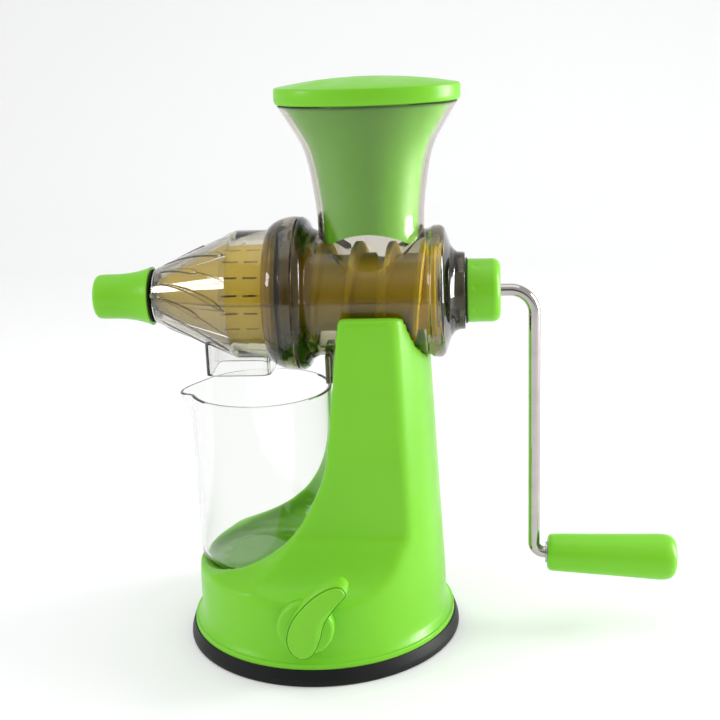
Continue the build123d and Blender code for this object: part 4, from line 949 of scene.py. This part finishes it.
@dataclass
class Barrel:
    """Barrel, hopper, spigot and collar: one clear moulding with two walls."""

    radius: float = 31.0
    bore: float = 26.6
    hopper_x: float = 31.8
    hopper_wall: float = 2.0
    hopper_length: float = 26.0
    hopper_depth: float = 27.0
    seam_steps: int = 48
    columns: int = 320
    parting_height: float = 0.2
    # Strength of the painted shadow under the pusher's lid, on the hopper's rim.
    rim_shadow: float = 0.8
    front_corners: tuple[Pair, ...] = (
        (-10.0, 27.6), (-10.0, 33.6), (-3.9, 33.6), (-3.9, 38.2), (-2.4, 38.1), (-0.2, 36.4),
        (1.6, 32.8), (5.0, 31.0),
    )
    rear_corners: tuple[Pair, ...] = (
        (59.4, 31.0), (60.6, 31.6), (61.8, 32.6), (65.6, 32.6), (67.4, 31.2), (68.6, 27.6),
        (70.2, 22.8), (72.4, 20.0), (74.2, 19.2), (77.3, 19.0), (77.3, 12.0), (77.3, 9.5),
        (65.0, 9.5), (65.0, 26.6), (64.0, 26.6),
    )
    tongue: tuple[Pair, Pair, Pair] = ((7.0, 10.4), (-9.0, 9.0), (134.4, 148.6))
    keel: tuple[Pair, Pair, Pair] = ((19.0, 49.0), (-5.5, 5.5), (143.6, 148.4))
    levels: tuple[Triple, ...] = (
        (213.0, 26.0, 27.0), (221.0, 26.3, 27.1), (229.0, 27.2, 27.4), (237.0, 28.3, 27.8),
        (245.0, 29.8, 28.2), (252.0, 32.0, 28.7), (258.0, 35.2, 29.3), (264.0, 38.8, 30.0),
        (268.0, 41.2, 30.5), (271.2, 43.4, 30.8),
    )

    def footprint(self, inset: float) -> np.ndarray:
        """Places along the barrel where the hopper's oval is sampled, closer at its ends."""
        turn = np.linspace(math.pi, 0, self.seam_steps)
        return self.hopper_x + (self.hopper_length - inset) * np.cos(turn)

    def opening_angle(self, x: np.ndarray, radius: np.ndarray, inset: float) -> np.ndarray:
        """Angle from the top at which the barrel's wall meets the hopper's oval.

        It is asin(b sqrt(1 - ((x - c) / a)^2) / radius), and nothing outside the oval.
        """
        length, depth = self.hopper_length - inset, self.hopper_depth - inset
        inside = np.clip(1 - ((x - self.hopper_x) / length) ** 2, 0, None)
        return np.arcsin(np.clip(depth * np.sqrt(inside) / radius, 0, 0.999))

    def wall(self, profile: np.ndarray, inset: np.ndarray) -> np.ndarray:
        """Turned wall that opens along the hopper's oval.

        Args:
            profile: Rows of (x, radius).
            inset: How far the oval is inset at each row, or a negative number for no opening.

        Returns:
            Grid of points; the first and last columns lie on the seam or meet at the top.
        """
        opened = self.opening_angle(profile[:, 0], profile[:, 1], np.maximum(inset, 0))
        open_angle = np.where(inset >= 0, opened, 0.0)
        share = np.linspace(0, 1, self.columns)[None, :]
        angle = open_angle[:, None] + share * (2 * math.pi - 2 * open_angle[:, None])
        radius = profile[:, 1:2]
        line = self.parting_height * parting_line(angle) * (radius > self.radius - 2)
        return about_barrel(profile[:, :1] + 0 * angle, radius + line, angle)

    def hopper_side(self, inset: float, wall_radius: float) -> np.ndarray:
        """Hopper wall from its seam on the barrel to the rim.

        Each row is the oval (c + a cos t, b sin t), starting on the seam and eased into the first
        level; t is sampled as the seam is.
        """
        turn = np.concatenate([
            np.linspace(math.pi, 0, self.seam_steps),
            np.linspace(0, -math.pi, self.seam_steps)[1:-1],
        ])
        seam_a, seam_b = self.hopper_length - inset, self.hopper_depth - inset
        seam_y = seam_b * np.sin(turn)
        seam_z = AXIS_Z + np.sqrt(wall_radius**2 - seam_y**2)
        seam = np.stack([self.hopper_x + seam_a * np.cos(turn), seam_y, seam_z], axis=1)
        levels = smooth_through(self.levels, 5)
        rows = [oval(self.hopper_x, a - inset, b - inset, z, turn) for z, a, b in levels]
        return np.stack([seam, *rows])

    def build(self) -> None:
        """Joins outer and inner walls at the spigot, the collar and the hopper's rim."""
        outer_seam = self.footprint(0.0)
        inner_seam = self.footprint(self.hopper_wall)
        front = rounded(self.front_corners, 0.9, closed=False)
        rear = rounded(self.rear_corners, 0.8, closed=False)
        inner = np.column_stack([inner_seam[::-1], np.full(self.seam_steps, self.bore)])
        outer = np.column_stack([outer_seam, np.full(self.seam_steps, self.radius)])
        profile = np.vstack([front, outer, rear, inner, [(-10.0, self.bore)]])
        inset = np.concatenate([
            np.full(len(front), -1.0), np.zeros(self.seam_steps), np.full(len(rear), -1.0),
            np.full(self.seam_steps, self.hopper_wall), [-1.0],
        ])
        turned = self.wall(profile, inset)
        shell = Shell().grid(turned, wrap_rows=True, wrap_columns=False)
        outside = self.hopper_side(0.0, self.radius)
        inside = self.hopper_side(self.hopper_wall, self.bore)
        middle = (outside[-1] + inside[-1]) / 2 + np.array([0.0, 0.0, 0.35])
        shell.grid(np.concatenate([outside, middle[None], inside[::-1]]))
        shell.grid(self.block(*self.tongue)).grid(self.block(*self.keel))
        piece = shell.build("clear_barrel", 32)
        # Painted shade on the parting line and a painted shadow on the hopper's rim.
        write_shade_mask(piece, self.barrel_shade_lines)
        wear(piece, SMOKE, "stand", "juicer_body")

    def barrel_shade_lines(self, point: np.ndarray, angle: np.ndarray) -> np.ndarray:
        """Painted shade: a dark parting line on the barrel's outside, and a painted shadow of the
        lid on the hopper's rim.
        """
        radius = np.hypot(point[:, 1], point[:, 2] - AXIS_Z)
        outer = np.abs(radius - self.radius) < 1
        on_barrel = (point[:, 0] > 2) & (point[:, 0] < 62) & outer
        # Painted shadow of the lid along the hopper's rim.
        rim = np.exp(-(((point[:, 2] - self.levels[-1][0]) / 0.7) ** 2))
        parting = PARTING_SHADE * parting_line(angle) * on_barrel
        return np.maximum(parting, self.rim_shadow * rim)

    @staticmethod
    def block(x: Pair, y: Pair, z: Pair) -> np.ndarray:
        """Closed block with rounded upright edges, as rows of one outline."""
        outline = rounded([(x[0], y[0]), (x[1], y[0]), (x[1], y[1]), (x[0], y[1])], 0.8)
        middle = np.array([[sum(x) / 2, sum(y) / 2]])
        near = 0.96 * (outline - middle) + middle
        flat = [0 * outline + middle, near, outline, outline, near, 0 * outline + middle]
        heights = [z[0], z[0], z[0] + 0.4, z[1] - 0.2, z[1], z[1]]
        return np.stack([
            np.column_stack([ring, np.full(len(ring), z)]) for ring, z in zip(flat, heights)
        ])


@dataclass
class Screw:
    """The yellow feed screw."""

    pitch: float = 16.7
    core: float = 18.9
    crest: float = 25.2
    low_crest: float = 23.0
    rear_x: float = 60.0
    boss_x: float = 63.4
    boss_radius: float = 22.4
    cone_x: float = -41.0
    tip_x: float = -78.0
    tip_radius: float = 4.6
    tip_crest: float = 5.2
    step_x: float = -12.2
    crest_top_x: float = 25.0
    flight_top: float = 0.065
    flight_foot: float = 0.17
    columns: int = 96
    rows: int = 560

    def radius(self, x: np.ndarray, angle: np.ndarray) -> np.ndarray:
        """Radius of the screw at a place and angle.

        The flight's height is a rounded trapezoid of the distance from its crest line, which lies
        at x = top - pitch * angle / turn; core and crest taper together in the cone.
        """
        turns = (x - self.crest_top_x) / self.pitch + angle / (2 * math.pi)
        beside = np.abs((turns + 0.5) % 1.0 - 0.5)
        shape = 1 - smooth_step(self.flight_top, self.flight_foot, beside)
        share = np.clip((x - self.tip_x) / (self.cone_x - self.tip_x), 0, 1)
        core = self.tip_radius + (self.core - self.tip_radius) * share
        low = self.tip_crest + (self.low_crest - self.tip_crest) * share
        crest = np.where(x > self.step_x, self.crest, low)
        return core + (crest - core) * shape

    def build(self) -> None:
        """Builds the screw as one grid over place and angle, closed at both ends."""
        x = np.linspace(self.tip_x, self.rear_x, self.rows)[:, None]
        angle = full_turn(self.columns)[None, :]
        body = about_barrel(x + 0 * angle, self.radius(x, angle), angle)
        edge = 0.4
        boss = lathe(np.array([
            (self.rear_x, self.boss_radius - edge), (self.rear_x + edge, self.boss_radius),
            (self.boss_x - edge, self.boss_radius), (self.boss_x, self.boss_radius - edge),
            (self.boss_x, 0.0),
        ]), steps=self.columns)
        nose = np.array([(self.tip_x - 0.6, 0.0), (self.tip_x - 0.4, self.tip_radius - 1.2)])
        tip = lathe(nose, steps=self.columns)
        shell = Shell().grid(np.concatenate([tip, body, boss]))
        wear(shell.build("feed_screw"), OLIVE, "crank", "auger")


@dataclass
class Spout:
    """The clear chute under the cone."""

    housing: Housing
    centre_x: float = -36.2
    length: float = 32.8
    width: float = 31.0
    bottom: float = 140.3
    wall: float = 1.7
    corner: float = 5.0

    def outline(self, inset: float) -> np.ndarray:
        """Level outline of the chute, a rounded rectangle."""
        half_x, half_y = self.length / 2 - inset, self.width / 2 - inset
        corners = [(-half_x, -half_y), (half_x, -half_y), (half_x, half_y), (-half_x, half_y)]
        ring = rounded(corners, self.corner)
        parts = 3
        share = np.tile(np.arange(parts) / parts, len(ring))[:, None]
        here = np.repeat(ring, parts, axis=0)
        following = np.repeat(np.roll(ring, -1, axis=0), parts, axis=0)
        return here * (1 - share) + following * share

    def top(self, x: np.ndarray, y: np.ndarray) -> np.ndarray:
        """Height just inside the cone's underside at a place: axis - sqrt(r(x)^2 - y^2) + 0.4."""
        radius = self.housing.cone_radius(np.clip(self.housing.share_along(x), 0, 1))
        return AXIS_Z - np.sqrt(np.maximum(radius**2 - y**2, 1.0)) + 0.4

    def build(self) -> None:
        """Carries the outline from the bottom edge up to the cone, outside and inside."""
        share = np.linspace(0, 1, 14)[:, None]
        walls = []
        for inset in (0.0, self.wall):
            ring = self.outline(inset)
            x = self.centre_x + ring[None, :, 0] + 0 * share
            y = ring[None, :, 1] + 0 * share
            z = self.bottom + share * (self.top(x, y) - self.bottom)
            walls.append(np.stack([x, y, z], axis=2))
        outer, inner = walls
        lip = (outer[0] + inner[0]) / 2 - np.array([0, 0, 0.3])
        rows = np.concatenate([lip[None], outer, inner[::-1]])
        rows[0, :, 2] = self.bottom
        rows[1, :, 2] += 0.4
        rows[-1, :, 2] += 0.4
        shell = Shell().grid(rows, wrap_rows=True)
        wear(shell.build("clear_spout"), SPOUT_SMOKE, "stand", "spout")


@dataclass
class PulpCap:
    """The green cap on the pulp outlet and the dark seal behind it."""

    front_x: float = -108.8
    rear_x: float = -79.8
    mouth_radius: float = 14.7
    hole: float = 4.6
    bore: float = 9.95
    bore_x: float = -96.3
    flare: tuple[Pair, ...] = (
        (-103.0, 11.25), (-98.0, 11.3), (-93.0, 11.65), (-88.0, 12.4), (-84.0, 13.4), (-81.0, 14.4),
    )

    def build(self) -> None:
        """Lathes the cap with a soft front edge and a flared mouth."""
        outside = smooth_through([
            (self.front_x, 8.8), (self.front_x + 0.2, 9.8), (self.front_x + 0.9, 10.65),
            (self.front_x + 2.2, 11.1), *self.flare, (self.rear_x - 0.2, self.mouth_radius),
        ], 6)
        rest = np.array([
            (self.rear_x, self.mouth_radius - 0.3), (self.rear_x, self.bore),
            (self.bore_x, self.bore), (self.bore_x, self.hole), (self.front_x + 0.5, self.hole),
            (self.front_x, self.hole + 0.5),
        ])
        shell = Shell().grid(lathe(np.vstack([outside, rest])), wrap_rows=True)
        wear(shell.build("pulp_cap"), GREEN, "nozzle", "nozzle_cap")


@dataclass
class Jug:
    """The clear jug with its pouring beak."""

    centre_x: float = -27.5
    radius: float = 36.0
    wall: float = 1.9
    floor_z: float = 37.6
    floor: float = 2.4
    top_z: float = 130.6
    corner: float = 10.0
    beak_length: float = 6.2
    beak_dip: float = 1.6
    beak_depth: float = 17.0
    beak_half_angle: float = 0.42
    rim_round: float = 0.45
    columns: int = 192

    def side(self, inset: float, bottom: float) -> np.ndarray:
        """Half section: floor, corner arc and straight wall."""
        radius, corner = self.radius - inset, self.corner - inset
        turn = np.linspace(0, math.pi / 2, 14)
        arc = np.column_stack([
            bottom + corner * (1 - np.cos(turn)), radius - corner + corner * np.sin(turn),
        ])
        wall_z = np.linspace(bottom + corner, self.top_z, 60)[1:]
        wall = np.column_stack([wall_z, np.full(len(wall_z), radius)])
        return np.vstack([[(bottom, 0.0)], arc, wall])

    def beak(self, height: np.ndarray, angle: np.ndarray) -> np.ndarray:
        """How far the wall is drawn out: a cosine bump about the -X side that grows to the rim."""
        away = np.abs(angle - math.pi) / self.beak_half_angle
        across = np.where(away < 1, 0.5 + 0.5 * np.cos(math.pi * away), 0.0)
        rise = smooth_step(self.top_z - self.beak_depth, self.top_z, height)
        return self.beak_length * across * rise

    def build(self) -> None:
        """Lathes outside and inside and joins them at a rounded rim."""
        outer = self.side(0.0, self.floor_z)
        inner = self.side(self.wall, self.floor_z + self.floor)
        outer[-1, 0] -= 0.5
        inner[-1, 0] -= 0.5
        rim = np.array([
            (self.top_z, self.radius - self.rim_round),
            (self.top_z, self.radius - self.wall + self.rim_round),
        ])
        profile = np.vstack([outer, rim, inner[::-1]])
        grid = lathe(profile, Turning.UPRIGHT, self.centre_x, self.columns, self.beak)
        drawn = self.beak(grid[:, :, 2], full_turn(self.columns)[None, :]) / self.beak_length
        grid[:, :, 2] -= self.beak_dip * drawn * (profile[:, 1:2] > 1)
        wear(Shell().grid(grid).build("clear_jug"), CLEAR, "jug", "jug")


@dataclass
class Pusher:
    """The green pusher: a hollow skirt in the hopper and a domed lid."""

    centre_x: float = 31.8
    gap: float = 3.0
    wall: float = 1.8
    bottom: float = 205.6
    arch_radius: float = 30.0
    arch_top: float = 211.6
    lid_bottom: float = 271.7
    lid_edge: float = 7.8
    lid_length: float = 44.7
    lid_depth: float = 32.2
    dome: float = 4.2
    columns: int = 192

    def build_skirt(self, levels: Sequence[Triple]) -> None:
        """Stretches ovals inside the hopper's between the arched lower edge and the lid."""
        rows = smooth_through([(self.bottom, levels[0][1], levels[0][2]), *levels], 4)
        turn = full_turn(self.columns)
        walls = []
        for inset in (0.0, self.wall):
            gap = self.gap
            grid = np.stack([
                oval(self.centre_x, a - gap - inset, b - gap - inset, z, turn) for z, a, b in rows
            ])
            across = grid[0, :, 0] - self.centre_x
            depth = np.sqrt(np.maximum(self.arch_radius**2 - across**2, 0))
            low = np.maximum(self.arch_top - self.arch_radius + depth, self.bottom)
            share = (grid[:, :, 2] - self.bottom) / (rows[-1][0] - self.bottom)
            grid[:, :, 2] = low[None] + share * (self.lid_bottom - low[None])
            walls.append(grid)
        outer, inner = walls
        shell = Shell().grid(np.concatenate([outer, inner[::-1]]), wrap_rows=True)
        wear(shell.build("pusher_skirt"), GREEN, "pusher", "pusher_body")

    def build_lid(self) -> None:
        """Builds the lid from rows of (height, scale of its oval): edge, dome and underside.

        The dome rises by dome (1 - s^2), where s is the scale's share of the edge's.
        """
        turn = full_turn(self.columns)
        low = self.lid_bottom
        top = low + self.lid_edge
        share = np.linspace(1, 0, 30)
        dome_z = top + self.dome * (1 - share**2)
        edge = [
            (low, 0.965), (low + 0.35, 0.985), (low + 1.4, 0.997), (low + 2.8, 1.0),
            (top - 1.0, 1.0), (top - 0.3, 0.994),
        ]
        dome = zip(top + 0.1 + (dome_z - top) * 0.98, 0.985 * share)
        under = [(top - 0.4, 0.0), (top - 0.4, 0.82), (top - 1.2, 0.84), (low, 0.845)]
        rows = [
            oval(self.centre_x, self.lid_length * scale, self.lid_depth * scale, z, turn)
            for z, scale in [*edge, *dome, *under]
        ]
        shell = Shell().grid(np.stack(rows), wrap_rows=True)
        wear(shell.build("pusher_dome"), GREEN, "pusher", "pusher_lid")

    def build(self, levels: Sequence[Triple]) -> None:
        """Builds skirt and lid."""
        self.build_skirt(levels)
        self.build_lid()


@dataclass
class Crank:
    """Green nut, bent rod and grip."""

    nut_front: float = 78.18
    nut_length: float = 16.2
    nut_radius: float = 15.7
    nut_rounding: float = 4.0
    nut_bore: float = 6.1
    nut_bore_depth: float = 9.0
    flutes: int = 8
    flute_phase: float = 17.0
    rod_radius: float = 3.0
    rod_start_x: float = 88.0
    rod_end: float = 60.0
    rod_x: float = 111.0
    foot_x: float = 110.4
    foot_z: float = 40.2
    top_bend: float = 12.0
    foot_bend: float = 5.6
    droop: float = 2.4
    grip_start: float = 6.8
    grip_outside: tuple[Pair, ...] = (
        (0.0, 3.1), (0.0, 6.4), (0.35, 8.2), (1.4, 9.25), (4.0, 9.6), (12.0, 9.95), (24.0, 10.4),
        (38.0, 10.95), (50.0, 11.45), (57.0, 11.75), (60.6, 11.5), (63.2, 10.5), (64.9, 8.6),
        (65.45, 6.0), (65.5, 3.0), (65.5, 0.0),
    )
    grip_inside: tuple[Pair, ...] = ((56.0, 0.0), (56.0, 5.6), (48.0, 5.6), (48.0, 3.1))

    def flute_relief(self, along: np.ndarray, angle: np.ndarray) -> np.ndarray:
        """Shallow hollows round the nut, each starting in a small dimple near the front edge."""
        spacing = 2 * math.pi / self.flutes
        from_top = angle + math.radians(self.flute_phase)
        beside = np.abs((from_top / spacing + 0.5) % 1.0 - 0.5) * spacing * self.nut_radius
        place = along - self.nut_front
        dimple = np.exp(-((beside / 1.1) ** 2) - (((place - 3.6) / 1.2) ** 2))
        hollow = np.exp(-((beside / 2.4) ** 2)) * smooth_step(2.6, 5.0, place)
        return -(0.3 * dimple + 0.28 * hollow) * (place > 0.6) * (place < self.nut_length - 0.3)

    def build_nut(self) -> None:
        """Lathes the nut with its large rear rounding and the hole for the rod."""
        front_x, rounding = self.nut_front, self.nut_rounding
        rear_x = front_x + self.nut_length
        side_x = np.linspace(front_x + 0.5, rear_x - rounding, 48)
        side = np.column_stack([side_x, np.full(len(side_x), self.nut_radius)])
        turn = np.linspace(0, math.pi / 2, 12)[1:]
        corner = np.column_stack([
            rear_x - rounding + rounding * np.sin(turn),
            self.nut_radius - rounding + rounding * np.cos(turn),
        ])
        start = np.array([(front_x, self.nut_bore), (front_x, self.nut_radius - 0.5)])
        hole, floor_x = self.rod_radius + 0.05, front_x + self.nut_bore_depth
        end = np.array([
            (rear_x, self.rod_radius + 0.9), (rear_x - 0.6, hole), (floor_x, hole),
            (floor_x, self.nut_bore),
        ])
        profile = np.vstack([start, side, corner, end])
        fluted_corner = 8
        last = len(start) + len(side) + fluted_corner
        relief = only_on_rows(self.flute_relief, len(start), last)
        shell = Shell().grid(lathe(profile, steps=256, relief=relief), wrap_rows=True)
        wear(shell.build("nut"), GREEN, "crank", "crank_nut")

    def build_rod(self) -> None:
        """Carries a circle along the bent path and closes it at both ends."""
        down = math.radians(self.droop)
        corners = np.array([
            (self.rod_start_x, 0, AXIS_Z),
            (self.rod_x, 0, AXIS_Z),
            (self.foot_x, 0, self.foot_z),
            (
                self.foot_x + self.rod_end * math.cos(down), 0,
                self.foot_z - self.rod_end * math.sin(down),
            ),
        ])
        path = [corners[0][None]]
        for i, bend in ((1, self.top_bend), (2, self.foot_bend)):
            corner = corners[i]
            before, after = (unit(corners[j] - corner) for j in (i - 1, i + 1))
            half = math.acos(float(before @ after)) / 2
            reach = bend / math.tan(half)
            middle = corner + unit(before + after) * bend / math.sin(half)
            start = corner + before * reach - middle
            sweep = math.pi - 2 * half
            normal = unit(np.cross(before, after))
            angle = np.linspace(0, sweep, 20)[:, None]
            turned = start * np.cos(angle) + np.cross(-normal, start) * np.sin(angle)
            path.append(middle + turned)
        path.append(corners[3][None])
        line = np.vstack(path)
        grid = carried_along(line, self.rod_radius)
        shell = Shell().grid(grid).closed_end(grid[0]).closed_end(grid[-1])
        wear(shell.build("bent_rod", 30), CHROME, "crank", "crank_rod")

    def build_grip(self) -> None:
        """Turns the grip's profile about the drooping axis."""
        out = self.grip_outside
        loop = np.vstack([out[:2], smooth_through(out[2:-2], 5), out[-2:], self.grip_inside])
        angle = full_turn(96)[None, :]
        down = math.radians(self.droop)
        direction = np.array([math.cos(down), 0, -math.sin(down)])
        upward = np.array([math.sin(down), 0, math.cos(down)])
        origin = np.array([self.foot_x, 0, self.foot_z]) + direction * self.grip_start
        grid = (
            origin
            + loop[:, :1, None] * direction
            + loop[:, 1:2, None] * (np.cos(angle)[..., None] * upward
                                    + np.sin(angle)[..., None] * np.array([0.0, 1.0, 0.0]))
        )
        wear(Shell().grid(grid, wrap_rows=True).build("grip"), GREEN, "grip", "handle_grip")

    def build(self) -> None:
        """Builds nut, rod and grip."""
        self.build_nut()
        self.build_rod()
        self.build_grip()


NODE_FINISHES: dict[str, Finish] = {
    "suction_plate": WHITE, "lever_shaft": STEEL, "lever_bush": WHITE,
    "lever_clip": STEEL, "body_screws": STEEL, "front_gasket": RUBBER, "strainer": OLIVE,
    "nozzle_seal": RUBBER, "drive_shaft": STEEL, "rear_bush": WHITE, "thrust_washer": WHITE,
    "shaft_seal": RUBBER, "grip_washer": STEEL, "grip_clip": STEEL,
}


# --- Studio ---------------------------------------------------------------------------------


@dataclass(frozen=True)
class SoftLight:
    """A rectangular soft light: where it stands, what it faces, and its size, all in metres."""

    name: str
    place: Triple
    aim: Triple
    size: Pair
    watts: float
    only_gloss: bool = False

    def build(self) -> None:
        """Adds the light. One that is only gloss is seen only as a reflection."""
        data = bpy.data.lights.new(self.name, "AREA")
        data.shape = "RECTANGLE"
        data.size, data.size_y = self.size
        data.energy = self.watts
        lamp = add_object(self.name, data)
        lamp.location = self.place
        lamp.visible_diffuse = not self.only_gloss
        lamp.rotation_mode = "QUATERNION"
        facing = Vector(self.aim) - Vector(self.place)
        lamp.rotation_quaternion = facing.to_track_quat("-Z", "Y")


LIGHTS = (
    SoftLight("window_right", (1.15, 0.14, 0.34), (0.03, 0.0, 0.2), (0.42, 1.0), 12.0),
    SoftLight("window_shine", (1.1, 0.16, 0.34), (0.03, 0.0, 0.2), (0.3, 0.8), 14.0, True),
    SoftLight("window_left", (-1.05, -0.42, 0.60), (-0.05, 0.0, 0.18), (0.3, 0.3), 3.0),
    SoftLight("top", (0.0, 0.1, 1.4), (0.0, 0.0, 0.1), (1.3, 1.3), 5.0),
)


@dataclass
class Studio:
    """Camera at the photograph's angle, pale floor, world and soft light."""

    focal_mm: float = 62.5
    location: Triple = (0.0878, -0.6048, 0.3089)
    yaw: float = -6.05
    pitch: float = 15.16
    roll: float = -2.26
    floor_colour: Triple = (0.82, 0.82, 0.825)
    floor_glow: float = 0.19
    floor_rise: float = 1.6
    dark_side: Triple = (0.16, 0.16, 0.17)
    pale_side: Triple = (0.99, 0.995, 1.0)
    world_strength: float = 0.68

    def camera(self) -> None:
        """Places the camera: its axes follow from yaw, downward pitch and roll."""
        yaw, pitch, roll = (math.radians(a) for a in (self.yaw, self.pitch, self.roll))
        forward = Vector((
            math.sin(yaw) * math.cos(pitch), math.cos(yaw) * math.cos(pitch), -math.sin(pitch),
        ))
        right = Vector((math.cos(yaw), -math.sin(yaw), 0))
        up = right.cross(forward)
        x_axis = math.cos(roll) * right + math.sin(roll) * up
        y_axis = -math.sin(roll) * right + math.cos(roll) * up
        data = bpy.data.cameras.new("view")
        data.lens = self.focal_mm
        data.sensor_width = 36.0
        data.clip_start, data.clip_end = 0.05, 20.0
        camera = add_object("view", data)
        camera.matrix_world = Matrix((
            (x_axis.x, y_axis.x, -forward.x, self.location[0]),
            (x_axis.y, y_axis.y, -forward.y, self.location[1]),
            (x_axis.z, y_axis.z, -forward.z, self.location[2]),
            (0, 0, 0, 1),
        ))
        bpy.context.scene.camera = camera

    def floor(self) -> None:
        """A pale sweep: flat under the object and curving up far behind it."""
        run = np.linspace(-2.5, 2.5, 41)
        rise = smooth_step(1.0, 2.4, run) * self.floor_rise
        across = np.linspace(-3.5, 3.5, 21)
        rows = np.stack([
            across[None, :] + 0 * run[:, None], run[:, None] + 0 * across[None, :],
            rise[:, None] + 0 * across[None, :],
        ], axis=2)
        shell = Shell().grid(rows / MM, wrap_columns=False)
        sweep = shell.build("floor_sweep")
        paper = bpy.data.materials.new("paper")
        paper.use_nodes = True
        shader = paper.node_tree.nodes["Principled BSDF"]
        set_inputs(shader, {
            "Base Color": (*self.floor_colour, 1), "Emission Color": (1, 1, 1, 1),
            "Emission Strength": self.floor_glow, "Roughness": 0.9, "Specular IOR Level": 0.1,
        })
        sweep.data.materials.append(paper)

    def world(self) -> None:
        """Lights all round, dark from the -Y side, and pale all round to the camera."""
        world = bpy.data.worlds.new("studio")
        world.use_nodes = True
        tree = world.node_tree
        split = tree.nodes.new("ShaderNodeSeparateXYZ")
        around = tree.nodes.new("ShaderNodeTexCoord").outputs["Generated"]
        tree.links.new(around, split.inputs["Vector"])
        fade = remap(tree, split.outputs["Y"], -0.98, -0.8)
        seen = tree.nodes.new("ShaderNodeLightPath").outputs["Is Camera Ray"]
        pale = combine(tree, "MAXIMUM", fade, seen)
        background = tree.nodes["Background"]
        two_tone(tree, pale, self.dark_side, self.pale_side, background.inputs["Color"])
        set_inputs(background, {"Strength": self.world_strength})
        bpy.context.scene.world = world

    def build(self) -> None:
        """Sets camera, floor, world and lights."""
        self.camera()
        self.floor()
        self.world()
        bpy.context.scene.view_settings.view_transform = "Standard"
        for light in LIGHTS:
            light.build()


def main() -> None:
    """Builds the pieces in order, dresses the CAD nodes that stay and sets the studio."""
    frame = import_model()
    housing, barrel = Housing(), Barrel()
    Foot().build()
    Stand().build(frame["nodes"]["stand"])
    Lever().build()
    housing.build()
    Ring().build()
    barrel.build()
    Screw().build()
    Spout(housing).build()
    PulpCap().build()
    Jug().build()
    Pusher().build(barrel.levels)
    Crank().build()
    for name, finish in NODE_FINISHES.items():
        dress_node(frame["nodes"][name], finish)
    Studio().build()
    LOG.info("size written")


if __name__ == "__main__":
    logging.basicConfig(level=logging.INFO, format="%(message)s")
    main()
